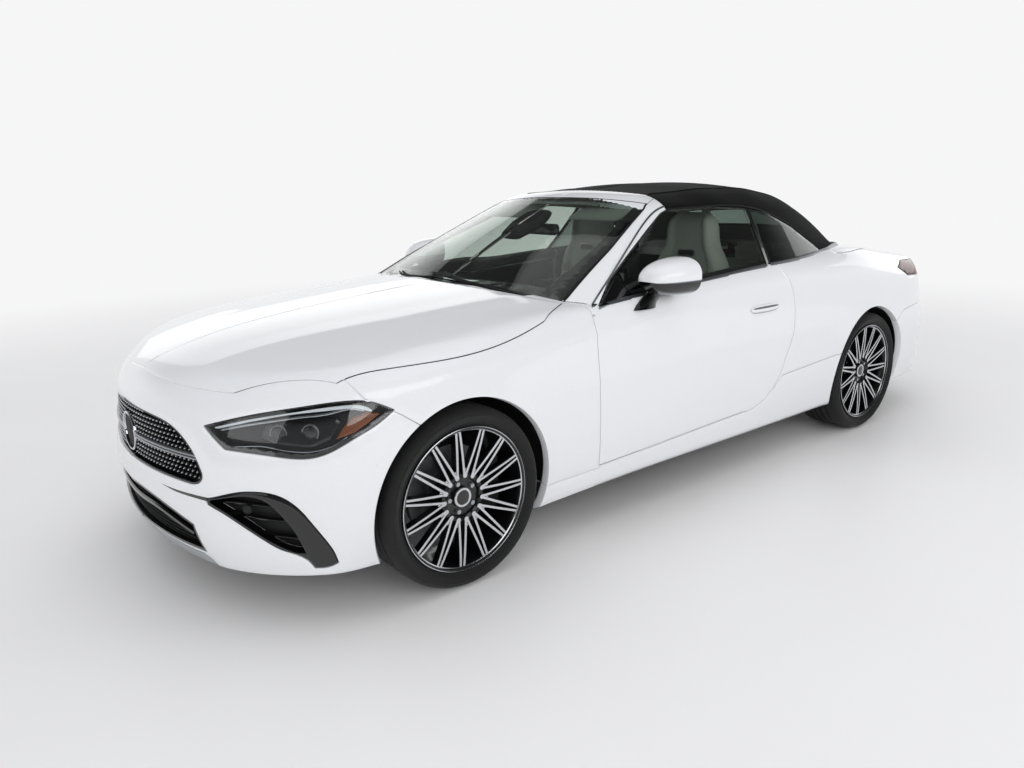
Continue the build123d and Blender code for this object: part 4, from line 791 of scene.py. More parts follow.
def skin(tree, colours, share, relief, strength, height, invert=False, **inputs):
    """What most finishes end in: a colour between two, and relief that stands height millimetres high."""
    tint = add(tree, "ShaderNodeMix", {"data_type": "RGBA"}, {"Factor": share},
               _6=linear(colours[0]), _7=linear(colours[1]))
    bump = add(tree, "ShaderNodeBump", {"invert": invert}, {"Height": relief}, Strength=strength,
               Distance=height * MM)
    return add(tree, "ShaderNodeBsdfPrincipled", links={"Base Color": tint.outputs[2], "Normal": bump},
               **inputs)


def grained(low, high, grain, height, bumpy=0.4, **inputs):
    """A material whose colour and surface vary with one grain, given in millimetres, and its height."""
    def build(tree):
        place = add(tree, "ShaderNodeTexCoord").outputs["Object"]
        noise = add(tree, "ShaderNodeTexNoise", links={"Vector": place}, Scale=1000 / grain, Detail=3.0)
        return skin(tree, (low, high), noise, noise, bumpy, height, **inputs)
    return build


def pane(tint, **inputs):
    """Clear stuff with a colour of its own, which lets light through without bending its shadow."""
    def build(tree):
        place = add(tree, "ShaderNodeTexCoord").outputs["Object"]
        noise = add(tree, "ShaderNodeTexNoise", links={"Vector": place}, Scale=3.0)
        bump = add(tree, "ShaderNodeBump", links={"Height": noise}, Strength=0.02, Distance=0.2 * MM)
        glass = add(tree, "ShaderNodeBsdfPrincipled", links={"Normal": bump}, Base_Color=linear(tint),
                    Transmission_Weight=1.0, **{"Roughness": 0.0, "IOR": 1.5, **inputs})
        clear = add(tree, "ShaderNodeBsdfTransparent", Color=linear(tint))
        ray = add(tree, "ShaderNodeLightPath")
        return add(tree, "ShaderNodeMixShader", links={0: ray.outputs["Is Shadow Ray"], 1: glass, 2: clear})
    return build


def woven(low, high, thread, height, sheen, **inputs):
    """Cloth on its piece's UV map, in metres: threads over and under in two directions."""
    def build(tree):
        place = add(tree, "ShaderNodeUVMap").outputs["UV"]
        warp, weft = (add(tree, "ShaderNodeTexWave",
                          {"wave_type": "BANDS", "wave_profile": "SIN", "bands_direction": direction},
                          {"Vector": place}, Scale=1000 / thread * math.pi / 10, Distortion=0.4,
                          Detail=1.0).outputs["Fac"] for direction in "XY")
        weave = add(tree, "ShaderNodeMath", {"operation": "MULTIPLY"}, {0: warp, 1: weft})
        blot = add(tree, "ShaderNodeTexNoise", links={"Vector": place}, Scale=14.0, Detail=4.0)
        both = add(tree, "ShaderNodeMath", {"operation": "MULTIPLY_ADD"}, {0: weave, 1: blot}, _2=0.1)
        return skin(tree, (low, high), both, weave, 0.6, height, Sheen_Weight=sheen, Sheen_Roughness=0.4,
                    **inputs)
    return build


def hide(low, high, grain, height, **inputs):
    """Leather: rounded cells of its grain between creases, over a slow change of colour."""
    def build(tree):
        place = add(tree, "ShaderNodeTexCoord").outputs["Object"]
        cells = add(tree, "ShaderNodeTexVoronoi", {"feature": "SMOOTH_F1"}, {"Vector": place},
                    Scale=1000 / grain, Smoothness=0.4)
        slow = add(tree, "ShaderNodeTexNoise", links={"Vector": place}, Scale=9.0, Detail=3.0)
        return skin(tree, (low, high), slow, cells, 0.35, height, invert=True, **inputs)
    return build


def turned_metal(tint, groove, height, roughness):
    """Metal cut on a lathe: fine rings, spaced groove millimetres, by the piece's own attribute reach."""
    def build(tree):
        reach = add(tree, "ShaderNodeAttribute", {"attribute_name": "reach"}).outputs["Fac"]
        turns = add(tree, "ShaderNodeMath", {"operation": "MULTIPLY"}, {0: reach}, _1=6.283 / groove)
        wave = add(tree, "ShaderNodeMath", {"operation": "SINE"}, {0: turns})
        place = add(tree, "ShaderNodeTexCoord").outputs["Object"]
        blot = add(tree, "ShaderNodeTexNoise", links={"Vector": place}, Scale=60.0, Detail=2.0)
        rough = add(tree, "ShaderNodeMapRange", links={"Value": blot}, To_Min=roughness * 0.75,
                    To_Max=roughness * 1.3)
        bump = add(tree, "ShaderNodeBump", links={"Height": wave}, Strength=0.3, Distance=height * MM)
        return add(tree, "ShaderNodeBsdfPrincipled", links={"Normal": bump, "Roughness": rough},
                   Base_Color=linear(tint), Metallic=1.0)
    return build


# Enamel baked on steel, under a clear coat: an even white with sharp reflections and a trace of orange peel.
white_enamel = finish("white_enamel", grained("E6E7E9", "EBECEE", 9.0, 0.010, 0.12, Roughness=0.35,
                                              Coat_Weight=1.0, Coat_Roughness=0.025, Coat_IOR=1.5))
# The same steel inside, with primer and a thin coat: dull and a little grey.
inner_enamel = finish("inner_enamel", grained("C9CACC", "D3D4D6", 14.0, 0.03, 0.2, Roughness=0.5))
# ABS moulded in a polished tool: black like a piano's lid.
gloss_black_abs = finish("gloss_black_abs", grained("060607", "0B0B0D", 25.0, 0.01, 0.1, Roughness=0.07,
                                                    Coat_Weight=0.6, Coat_Roughness=0.03))
# Polypropylene from an etched tool: a fine leathery grain that takes the shine off.
grained_black_pp = finish("grained_black_pp", grained("101113", "1A1B1D", 1.6, 0.12, 0.5, Roughness=0.62))
# Polypropylene felt and sealer under the floor: rough and nearly black.
underfloor_sealer = finish("underfloor_sealer", grained("101012", "1E1E20", 4.0, 0.6, 0.7, Roughness=0.85))
# ABS with a layer of chromium: mirror bright.
chromed_abs = finish("chromed_abs", grained("C8CBD0", "D4D7DB", 60.0, 0.004, 0.1, Metallic=1.0, Roughness=0.06))
# Anodised aluminium, brushed along its length: a soft silver sheen.
anodised_strip = finish("anodised_strip", grained("74777B", "83868A", 2.0, 0.01, 0.2, Metallic=0.9,
                                                  Roughness=0.34))
# Moulded plastic with silver paint: duller than metal.
silver_paint = finish("silver_paint", grained("A9ACB0", "B8BBBE", 3.0, 0.01, 0.2, Metallic=0.8, Roughness=0.32))
# Cast aluminium turned on its outer faces: bright, with rings.
turned_alloy = finish("turned_alloy", turned_metal("D6D8DB", 0.9, 0.02, 0.2))
# The same casting painted black in its pockets.
black_alloy = finish("black_alloy", grained("0B0B0C", "141416", 6.0, 0.03, 0.2, Metallic=0.2, Roughness=0.28,
                                            Coat_Weight=0.5, Coat_Roughness=0.1))
# Grey cast iron with the rings that the pads wear.
worn_iron = finish("worn_iron", turned_metal("7E8083", 1.4, 0.03, 0.38))
# Steel and iron of the chassis, dipped black and dusty.
chassis_iron = finish("chassis_iron", grained("1B1B1D", "2E2D2D", 7.0, 0.4, 0.5, Metallic=0.3, Roughness=0.6))
# Sand-cast aluminium of the engine: grey with a pebbled skin.
sand_cast = finish("sand_cast", grained("6C6F73", "8A8D90", 3.0, 0.5, 0.6, Metallic=0.7, Roughness=0.5))
# Vulcanised rubber: deep grey, dull, with a faint bloom.
tyre_rubber = finish("tyre_rubber", grained("0B0B0C", "131314", 5.0, 0.10, 0.35, Roughness=0.72,
                                            Sheen_Weight=0.04, Sheen_Roughness=0.6))
# Soft rubber of seals: black and dull.
seal_rubber = finish("seal_rubber", grained("08080A", "101012", 2.0, 0.05, 0.3, Roughness=0.6))
# Laminated safety glass, with a green cast from its iron.
green_glass = finish("green_glass", pane("DDE6E0"))
# The darker glass beside and behind the rear seats.
privacy_glass = finish("privacy_glass", pane("808C86"))
# Ceramic enamel fired on the glass's edge: black behind the gloss.
fired_frit = finish("fired_frit", grained("050506", "09090A", 1.2, 0.01, 0.1, Roughness=0.12, Coat_Weight=1.0))
# Polycarbonate lens, hard coated.
clear_lens = finish("clear_lens", pane("F4F7F8", IOR=1.58))
# Acrylic dyed red.
red_lens = finish("red_lens", pane("7C070D", IOR=1.4, Roughness=0.03))
# Ribbed acrylic behind the lenses, and the guides that light it.
amber_reflector = finish("amber_reflector", grained("8A4414", "A8591F", 5.0, 0.6, 0.5, Roughness=0.3,
                                                    Coat_Weight=0.6))
red_reflector = finish("red_reflector", grained("6A0A0F", "8A0E14", 4.0, 0.5, 0.5, Roughness=0.35,
                                                Coat_Weight=0.5))
# The red guides carry a faint painted glow from their emission.
red_guide_painted_glow = finish("red_guide_painted_glow", grained("A81118", "C0161D", 8.0, 0.02, 0.2, Roughness=0.12, Coat_Weight=1.0,
                                        Emission_Color=linear("C0161D"), Emission_Strength=0.15))
# The projectors' thick glass, dark when it is off.
projector_glass = finish("projector_glass", grained("0A0D11", "10151B", 30.0, 0.01, 0.1, Roughness=0.03,
                                                    Coat_Weight=1.0, Coat_Roughness=0.01))
# Light guide: milky acrylic, with a faint painted glow from its emission that keeps it white from any side.
milky_acrylic_painted_glow = finish("milky_acrylic_painted_glow", grained("E9EEF2", "F4F7FA", 4.0, 0.01, 0.1, Roughness=0.15,
                                                Emission_Color=linear("F2F6FA"), Emission_Strength=0.25))
# Acrylic canvas of the top: black with the threads' ribs and a soft sheen. Threads of 1.1 mm, drawn 3 mm wide.
acrylic_canvas = finish("acrylic_canvas", woven("020202", "090A0B", 3.0, 0.5, 0.06, Roughness=0.95,
                                                Specular_IOR_Level=0.1))
# Headlining cloth: pale and felted.
headlining = finish("headlining", grained("A7A6A2", "B7B6B2", 1.2, 0.2, 0.4, Roughness=0.9, Sheen_Weight=0.3))
# Corrected-grain cowhide, light grey: cells of the grain 1.6 mm, drawn 2.6 mm wide.
pale_leather = finish("pale_leather", hide("D6D4D0", "E2E0DC", 2.6, 0.18, Roughness=0.46,
                                           Specular_IOR_Level=0.4))
black_leather = finish("black_leather", hide("111112", "1B1B1D", 2.6, 0.18, Roughness=0.5))
# Slush-moulded skin over foam on dash and door tops.
foam_skin = finish("foam_skin", hide("141517", "1E1F21", 2.0, 0.2, Roughness=0.66))
# Tufted carpet: loops catch no light.
tufted_carpet = finish("tufted_carpet", grained("151517", "26262A", 2.5, 1.5, 0.9, Roughness=0.95,
                                                Sheen_Weight=0.4))
# Polyester webbing of the belts.
belt_webbing = finish("belt_webbing", grained("8E8D8A", "A09F9C", 1.5, 0.2, 0.5, Roughness=0.8))
# A switched-off display behind its glass.
dark_display = finish("dark_display", grained("040506", "07090B", 40.0, 0.002, 0.05, Roughness=0.05,
                                              Coat_Weight=1.0))
# Silvered mirror glass.
mirror_glass = finish("mirror_glass", grained("C4C9CC", "CACFD2", 90.0, 0.001, 0.02, Metallic=1.0,
                                              Roughness=0.02))


# ---- shapes used by many pieces
SIDES = (("left", lambda part: part), ("right", other_side))


def unit(v):
    v = np.asarray(v, float)
    return v / (np.linalg.norm(v, axis=-1, keepdims=True) + 1e-12)


def tube_faces(rows, count, looped=False):
    """Faces between rings of count points each, with closed ends unless the last ring meets the first."""
    faces = []
    for i in range(rows if looped else rows - 1):
        for j in range(count):
            k, below = (j + 1) % count, (i + 1) % rows
            faces.append((i * count + j, i * count + k, below * count + k, below * count + j))
    if not looped:
        faces += [tuple(range(count - 1, -1, -1)), tuple(range((rows - 1) * count, rows * count))]
    return faces


def sweep(path, section, up=(0, 0, 1), scale=1.0):
    """A bar along a path: its section's points are (across, up), counter-clockwise seen from its end."""
    path, section = np.asarray(path, float), np.asarray(section, float)
    ahead = unit(np.gradient(path, axis=0))
    across = unit(np.cross(np.broadcast_to(np.asarray(up, float), path.shape), ahead))
    raised = np.cross(ahead, across)
    scale = np.broadcast_to(np.asarray(scale, float), len(path))[:, None, None]
    spread = across[:, None] * section[None, :, :1] + raised[:, None] * section[None, :, 1:]
    verts = path[:, None] + spread * scale
    return verts.reshape(-1, 3), tube_faces(len(path), len(section))


def bar_section(width, height, round_off=0.25, base=0.0):
    """A flat bar with softened corners, standing on base."""
    w, h, r = width / 2, height, min(width, height) * round_off
    return ((-w, base), (w, base), (w, base + h - r), (w - r, base + h), (-w + r, base + h), (-w, base + h - r))


def round_points(count, radius=1.0, end=2 * np.pi, endpoint=False):
    turn = np.linspace(0, end, count, endpoint=endpoint)
    return np.column_stack((np.cos(turn), np.sin(turn))) * radius


def lathe(profile, centre, axis, first, steps=96):
    """Turns a profile of (radius, distance along the axis), closed when it returns to its start."""
    profile = np.asarray(profile, float)
    looped = np.allclose(profile[0], profile[-1])
    profile = profile[:-1] if looped else profile
    axis, first = unit(axis), unit(first)
    out = round_points(steps) @ np.array((first, np.cross(axis, first)))
    verts = (np.asarray(centre, float) + out[:, None] * profile[None, :, :1]
             + axis * profile[None, :, 1:]).reshape(-1, 3)
    count = len(profile)
    faces = []
    for i in range(steps):
        for j in range(count if looped else count - 1):
            k, after = (j + 1) % count, (i + 1) % steps
            faces.append((i * count + j, after * count + j, after * count + k, i * count + k))
    for j, way in ((0, -1), (count - 1, 1)):
        if not looped and profile[j, 0] > 1e-6:
            faces.append(tuple(i * count + j for i in range(steps))[::way])
    return verts, faces


def slab(points, origin, first, second, thickness, bevel=0.0):
    """A plate with an outline of (first, second) points, counter-clockwise, and softened front edges."""
    points = np.asarray(points, float)
    first, second = unit(first), unit(second)
    edge_in, edge_out = unit(points - np.roll(points, 1, axis=0)), unit(np.roll(points, -1, axis=0) - points)
    normal = unit((edge_in + edge_out)[:, ::-1] * (-1, 1))
    rings = [(points, 0.0), (points, thickness - bevel)]
    if bevel:
        rings += [(points + normal * bevel * share, thickness - bevel * down)
                  for share, down in ((0.3, 0.3), (1, 0))]
    verts = np.concatenate([np.asarray(origin, float) + p[:, :1] * first + p[:, 1:] * second
                            + np.cross(first, second) * z for p, z in rings])
    return verts, tube_faces(len(rings), len(points))


def rounded(width, height, radius):
    """Points of a rectangle with round corners about the middle, counter-clockwise."""
    arc = round_points(6, radius, np.pi / 2, True)
    corners = []
    for sx, sy in ((1, 1), (-1, 1), (-1, -1), (1, -1)):
        corners.append(arc + (sx * (width / 2 - radius), sy * (height / 2 - radius)))
        arc = arc[:, ::-1] * (-1, 1)
    return np.concatenate(corners)


def piece(name, parts, material, home="body", node=None, smooth=40.0, slot=None):
    """One object from several meshes: it rides on the body home, and may stand for a CAD node."""
    made = put(name, *join(parts), material, smooth)
    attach(made, home)
    if node:
        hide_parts(node)
    return made


def places_of(mesh):
    """A mesh's points in millimetres."""
    places = np.empty(len(mesh.vertices) * 3, np.float32)
    mesh.vertices.foreach_get("co", places)
    return places.reshape(-1, 3).astype(float) / MM


def both(*parts):
    return [own for part in parts for own in (part, other_side(part))]


def on_doors(name, parts, material, node=None, smooth=40.0):
    """A piece of the left door and its reflection on the right one."""
    for side, own in SIDES:
        piece(f"{name}_{side}", [own(part) for part in parts], material, f"door_{side}",
              node and f"{node}_{side}", smooth)


# ---- painted panels
DOOR_INNER_Y, DOOR_STEP = 745.0, 14.0


def door_wall(points):
    """The door's sides run straight inwards to its inner face, stepped back behind."""
    inner = points.copy()
    inner[:, 1] = DOOR_INNER_Y
    inner[points[:, 0] < -330, 0] += DOOR_STEP
    inner[points[:, 2] < 360, 2] += 6
    return inner


def panel(name, sheet, keep, node=None, home="body", material=white_enamel, **form):
    """A piece of a sheet: one panel across the middle line, or one on each side."""
    shape = panel_shape(sheet, keep, **form)
    return piece(name, [shape] if form.get("across") else both(shape), material, home, node)


panel("bonnet_panel", body_sheet, on_bonnet, "bonnet", "bonnet", gap=1.7, lip=1.7, across=True)
panel("front_fender_panels", body_sheet, on_fender, "front_fenders", gap=1.2, lip=1.7)
panel("sill_panels", body_sheet, on_sill, "sills", gap=1.4)
panel("rear_quarter_panels", body_sheet, on_quarter, "rear_quarters", gap=1.4)
panel("tonneau_cover", body_sheet, on_tonneau, "tonneau_panel", gap=1.6, across=True)
on_doors("door_panel", [panel_shape(body_sheet, on_door, gap=2.2, wall=door_wall)], white_enamel, "door")
panel("front_bumper_skin", nose_sheet, on_nose, "front_bumper", gap=1.2, across=True)
panel("rear_bumper_skin", tail_sheet, on_tail, "rear_bumper", gap=1.4, across=True)
panel("boot_lid_panel", lid_sheet, on_lid & ~lid_lamp, "boot_lid", "boot_lid", gap=2.6, across=True)
panel("pillars_and_header", top_sheet, on_frame, "windscreen_frame", gap=1.0, depth=38, across=True)


# ---- wheels
def copies_tree(name, inputs, place):
    """Geometry nodes that put copies of a shape on points, and make them real and coated."""
    tree = bpy.data.node_groups.new(name, "GeometryNodeTree")
    for label, kind in (("Geometry", "Geometry"), *inputs, ("Material", "Material")):
        tree.interface.new_socket(label, in_out="INPUT", socket_type="NodeSocket" + kind)
    tree.interface.new_socket("Geometry", in_out="OUTPUT", socket_type="NodeSocketGeometry")
    given = tree.nodes.new("NodeGroupInput").outputs
    placed = add(tree, "GeometryNodeInstanceOnPoints", links=place(tree, given))
    real = add(tree, "GeometryNodeRealizeInstances", links={"Geometry": placed})
    coated = add(tree, "GeometryNodeSetMaterial", links={"Geometry": real, "Material": given["Material"]})
    add(tree, "NodeGroupOutput", links={0: coated})
    return tree


def grow(made, tree, **inputs):
    """Runs a tree on a piece and keeps the result as its plain mesh."""
    nodes = made.modifiers.new(tree.name, "NODES")
    nodes.node_group = tree
    for item in tree.interface.items_tree:
        if item.in_out == "INPUT" and item.name in inputs:
            nodes[item.identifier] = inputs[item.name]
    mesh = bpy.data.meshes.new_from_object(made.evaluated_get(bpy.context.evaluated_depsgraph_get()))
    made.modifiers.remove(nodes)
    made.data = mesh


def in_ring(tree, given):
    """The piece's own mesh, repeated in a ring about an axle that lies along Y."""
    points = add(tree, "GeometryNodePoints", links={"Count": given["Copies"], "Position": given["Middle"]})
    index = add(tree, "GeometryNodeInputIndex")
    step = add(tree, "ShaderNodeMath", {"operation": "DIVIDE"}, {1: given["Copies"]}, _0=2 * math.pi)
    turn = add(tree, "ShaderNodeMath", {"operation": "MULTIPLY"}, {0: index, 1: step})
    angles = add(tree, "ShaderNodeCombineXYZ", links={"Y": turn})
    return {"Points": points, "Instance": given["Geometry"], "Rotation": angles}


RING = copies_tree("ring_of_copies", (("Copies", "Int"), ("Middle", "Vector")), in_ring)
SPOKE_COUNT = 15
HUB_REACH, RIM_REACH = 90.0, 258.0         # where a leg's middle line starts and ends
HUB_SPREAD, RIM_SPREAD = 4.0, 46.2         # of a V's legs, to each side of its middle
LEG_WIDTH = 9.0
LEG_DEPTH = 30.0
CAP = 0.7                                  # the turned face's own layer
BOLT_CIRCLE, BOLT_COUNT = 56.0, 5
TREAD_RADIUS = 339.5
SIDEWALL = (                               # the tyre's outer side: radius, distance in from the tyre's widest
    (268, 26), (271.5, 22), (275, 19), (278, 17), (281, 18.5), (284, 17.5), (292, 9), (300, 3.5), (308, 1),
    (311, 0), (313, 2.4), (319, 3.6), (325, 8.5), (330, 14.5), (334, 21), (337.5, 31), (339.0, 44))
GROOVES = (58.0, 18.0, -18.0, -58.0)       # middles of the tread's grooves
GROOVE_HALF, GROOVE_DEPTH = 4.5, 7.0
# Outlines turned about the axle: radius, and distance outwards from the rim's outer face.
BARREL = ((270.5, -1), (268, 0), (262, -2), (257, -12), (250, -26), (246, -60), (238, -90))
BARREL_INNER = (                           # the same, from the rim's inner face
    (238, 70), (247, 40), (250, 16), (258, 4), (266, 0), (271, 2), (271, 8), (262, 12), (255, 24), (251, 44),
    (243, 74))
BARREL_UNDER = ((243, -96), (252, -64), (258, -28), (264, -10), (270.5, -8), (270.5, -1))
RIM_RING = ((256.5, -9.0), (268.4, 0.5), (270.6, -0.6), (270.9, -5), (268, -6), (258, -12), (256.5, -9.0))
HUB_CUP = ((96, -62), (92, -30), (84, -27), (74, -33), (70, -42), (40, -45), (38, -34), (0, -34), (0, -66),
           (96, -66), (96, -62))
CAP_RING = ((27, -30), (28, -28.5), (35.5, -28.5), (37, -30), (37, -36), (27, -36), (27, -30))
HUB_CAP = ((0, -27.5), (20, -28), (26.6, -29.5), (26.6, -35), (0, -35))
DISC_BACK = 116                            # the brake disc's outer face stands this far in
BRAKE_DISC = ((62, 0), (66, 24), (92, 24), (96, 0), (178, 0), (178, -9), (170, -9), (170, -17), (178, -17),
              (178, -26), (62, -26), (62, 0))


def leg(side, outer, width, high, low):
    """One leg of a V about the origin, its top sunk towards the hub."""
    share = np.linspace(0, 1, 15)
    radius = HUB_REACH + (RIM_REACH - HUB_REACH) * share
    spread = side * (HUB_SPREAD + (RIM_SPREAD - HUB_SPREAD) * share)
    height = outer - 9 - 15 * (1 - share) ** 1.6
    along = radius * np.sqrt(1 - (spread / radius) ** 2)
    w = width / 2
    section = ((-w, low), (w, low), (w, high - 0.5), (w - 0.6, high), (-w + 0.6, high), (-w, high - 0.5))
    return sweep(np.column_stack((along, height, spread)), section, up=(0, 1, 0))


def apex(outer, width, high, low):
    """The blunt end in which a V's two legs meet."""
    half = width / 2
    turn = np.linspace(np.pi / 2, 3 * np.pi / 2, 9)
    points = np.concatenate((np.column_stack((84 + half * np.cos(turn), half * np.sin(turn))),
                             ((112, -half * 1.05), (112, half * 1.05))))
    return slab(points, (0, outer - 24 + low, 0), (1, 0, 0), (0, 0, -1), high - low, 0.6)


def tyre_profile(half):
    """A closed outline of the tyre's section, from one bead over the tread to the other."""
    outer = [(r, half - inset) for r, inset in SIDEWALL]
    groove = ((1, 0, 0.8), (1, 0.8, 0), (1, GROOVE_DEPTH, -1), (-1, GROOVE_DEPTH, -1), (-1, 0.8, 0),
              (-1, 0, 0.8))
    tread = [(TREAD_RADIUS - down, middle + side * (GROOVE_HALF + wide))
             for middle in GROOVES for side, down, wide in groove]
    inner = [(r, -s) for r, s in reversed(outer)]
    return [*outer, *tread, *inner, (262, -half + 30), (262, half - 30), outer[0]]


def make_wheel(name, axle_x, middle_y, tyre_width, rim_width, side):
    """A tyre, a rim with its spokes and the brake disc behind it; side is 1 on the left and -1 on the right."""
    centre = np.array((axle_x, side * middle_y, WHEEL_Z))
    outer = rim_width / 2
    home = f"wheel_{name}"
    own = SIDES[side < 0][1]

    def turned(profile, steps, shift=outer):
        return lathe([(r, s + shift) for r, s in profile], centre, (0, side, 0), (0, 0, 1), steps)

    def ring_of(label, parts, copies, material):
        """One mesh with copies of parts, which are drawn about the origin, round the axle."""
        made = put(f"{label}_{name}", *join([own(part) for part in parts]), material, 35.0)
        grow(made, RING, Copies=copies, Middle=[float(v) * MM for v in centre], Material=material)
        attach(made, home)
        return made

    piece(f"tyre_{name}_moulded", [turned(tyre_profile(tyre_width / 2), 240, 0)], tyre_rubber, home,
          f"tyre_{name}", 38)
    inner = [(r, s - rim_width) for r, s in BARREL_INNER]
    ring_of("spoke_beams", [*(leg(s, outer, LEG_WIDTH + 2.4, -CAP, -LEG_DEPTH) for s in (1, -1)),
                            apex(outer, 20.4, -CAP, -LEG_DEPTH)], SPOKE_COUNT, black_alloy)
    faces = ring_of("spoke_faces", [*(leg(s, outer, LEG_WIDTH, 0.0, -CAP - 0.3) for s in (1, -1)),
                                    apex(outer, 18.0, 0.0, -CAP - 0.3)], SPOKE_COUNT, turned_alloy)
    ring_of("wheel_bolts", [slab(round_points(6) * 9.5 + (BOLT_CIRCLE, 0), (0, outer - 44, 0), (1, 0, 0),
                                 (0, 0, -1), 13, 1.5)], BOLT_COUNT, silver_paint)
    piece(f"rim_{name}_barrel", [turned((*BARREL, *inner, *BARREL_UNDER), 120), turned(HUB_CUP, 96)],
          black_alloy, home, f"rim_{name}", 32)
    rim_ring = piece(f"rim_{name}_turned_ring", [turned(RIM_RING, 160), turned(CAP_RING, 64)], turned_alloy,
                     home, smooth=32)
    piece(f"rim_{name}_cap", [turned(HUB_CAP, 64)], gloss_black_abs, home, smooth=32)
    rotor = piece(f"brake_disc_{name}", [turned(BRAKE_DISC, 120, outer - DISC_BACK)], worn_iron, home,
                  smooth=32)
    for made in (faces, rim_ring, rotor):
        # each point's distance from the axle in millimetres, for the rings of turned metal
        from_axle = places_of(made.data) - centre
        reach = made.data.attributes.new("reach", "FLOAT", "POINT")
        reach.data.foreach_set("value", np.hypot(from_axle[:, 0], from_axle[:, 2]).astype(np.float32))


for side_name, side in (("left", 1), ("right", -1)):
    make_wheel(f"front_{side_name}", FRONT_AXLE_X, 792.5, 245.0, 222.0, side)
    make_wheel(f"rear_{side_name}", REAR_AXLE_X, 778.0, 275.0, 252.0, side)


# ---- shapes that follow a chart
def outward(part):
    """Turns a closed mesh's faces outwards."""
    verts, faces = part
    verts = np.asarray(verts, float)
    volume = sum(float(verts[f[0]] @ np.cross(verts[a], verts[b])) for f in faces for a, b in zip(f[1:], f[2:]))
    return (verts, faces) if volume > 0 else (verts, [tuple(reversed(f)) for f in faces])


def strip_on(chart, line, section, closed=True):
    """A bar that follows a line on a chart: its section's points are (inset, sink) in millimetres."""
    flat = chart.flat(line)
    if closed and np.linalg.norm(flat[0] - flat[-1]) < 1.0:
        flat = flat[:-1]
    before, after = np.roll(flat, 1, axis=0), np.roll(flat, -1, axis=0)
    if not closed:
        before[0], after[-1] = flat[0], flat[-1]
    inward = unit(after - before)[:, ::-1] * (-1, 1)
    if np.sum(flat[:, 0] * after[:, 1] - after[:, 0] * flat[:, 1]) < 0:
        inward = -inward
    rings = [chart.solid(flat + inward * inset, sink)[0] for inset, sink in section]
    return outward((np.stack(rings, axis=1).reshape(-1, 3), tube_faces(len(flat), len(section), closed)))


def bar_on(chart, line, sink, section, scale=1.0):
    """A bar along points near a chart's surface, sunk under it."""
    path, out = chart.under(line, sink)
    return sweep(path, section, up=out, scale=scale)


def tube_on(chart, points, radius, sink, flatten=1.0):
    """A round bar along a smooth line under the surface, thinner towards its ends."""
    line = curve(points)
    share = np.linspace(0, 1, len(line))
    return bar_on(chart, line, sink, round_points(10, radius) * (1, flatten),
                  np.clip(np.minimum(share, 1 - share) * 24 + 0.25, 0, 1) ** 0.5)


def patch(chart, line, sink, depth, lip=1.0, spacing=10.0):
    """A plate with its own closed outline, given by points near the surface, lying sink below it."""
    flat = chart.flat(np.asarray(line, float))
    if np.linalg.norm(flat[0] - flat[-1]) < 1.0:
        flat = flat[:-1]
    sheet = Sheet(chart.sunk(sink), flat, [], spacing)
    return panel_shape(sheet, np.ones(len(sheet.tris), bool), 0.0, lip, depth)


def lower_sheet(sheet, sink):
    """The same triangles on a deeper chart."""
    lower = copy.copy(sheet)
    lower.chart = sheet.chart.sunk(sink)
    return lower


def whole(line):
    """A left half's line with its reflection, from one end on the middle line to the other."""
    return np.concatenate((line, (line * (1, -1, 1))[::-1][1:]))


def dome(centre, ahead, radius, height):
    """A lens or button: a low dome that faces ahead, on a short barrel."""
    turn = np.linspace(0, np.pi / 2, 6)
    arc = [(radius * math.cos(t), height * math.sin(t)) for t in turn[:-1]]
    profile = [(radius, -height * 1.5), *arc, (0, height)]
    first = np.cross(ahead, (0, 0, 1) if abs(ahead[2]) < 0.9 else (1, 0, 0))
    return lathe(profile, centre, ahead, first, 40)


# ---- headlamps
LAMP_AHEAD = np.array((math.cos(LAMP_TURN), math.sin(LAMP_TURN), 0))
GUIDE = ((2284, 533, 679), (2236, 598, 700), (2171, 676, 723), (2102, 743, 739), (2031, 799, 747),
         (1960, 846, 752), (1928, 864, 750), (1903, 874, 741), (1892, 880, 735))
GUIDE_LOW = ((2273, 553, 672), (2223, 626, 693), (2153, 706, 712), (2083, 768, 725), (2009, 821, 734),
             (1946, 855, 744), (1915, 872, 736))
CHROME_LOW = ((2266, 596, 627), (2236, 643, 632), (2186, 707, 636), (2157, 741, 629), (2117, 780, 622),
              (2080, 810, 621), (2044, 833, 628), (2009, 851, 642), (1975, 864, 662))
AMBER = ((2010, 848, 655), (1985, 856, 690), (1955, 862, 716), (1905, 874, 730), (1872, 894, 722),
         (1911, 886, 697), (1954, 873, 671), (2010, 848, 655))
MODULE = ((2180, 690, 700), (2120, 745, 712), (2060, 792, 719), (1995, 838, 720), (1984, 845, 706),
          (2026, 839, 652), (2079, 810, 630), (2168, 730, 642), (2200, 690, 660), (2180, 690, 700))
PROJECTORS = ((2150, 725, 674), (2068, 790, 676))
HIGH = (0, 0, 1)

border = strip_on(nose_chart, headlamp_line, ((1.5, 5), (13, 5.5), (15, 42), (1.5, 42)))
piece("headlamp_housings", both(border), gloss_black_abs, node="headlamps")
panel("headlamp_floors", lower_sheet(nose_sheet, 38), nose_lamp, material=grained_black_pp, gap=3, lip=0.6,
      depth=3)
panel("headlamp_lenses", nose_sheet, nose_lamp, material=clear_lens, gap=1.4, lip=1.2, depth=3.5)
# The light guides' faint glow is painted light, from their material's emission.
piece("light_guides", both(tube_on(nose_chart, GUIDE, 6.0, 12, 0.8)), milky_acrylic_painted_glow)
piece("headlamp_chrome", both(tube_on(nose_chart, GUIDE_LOW, 4.0, 15, 0.6),
                              tube_on(nose_chart, CHROME_LOW, 2.6, 9)),
      chromed_abs)
piece("headlamp_modules", both(patch(nose_chart, trace_solid(MODULE), 18, 16, 4)), gloss_black_abs, smooth=50)
piece("turn_signals", both(patch(nose_chart, trace_solid(AMBER), 11, 18, 2)), amber_reflector, smooth=50)
projector_parts, bezel_parts = [], []
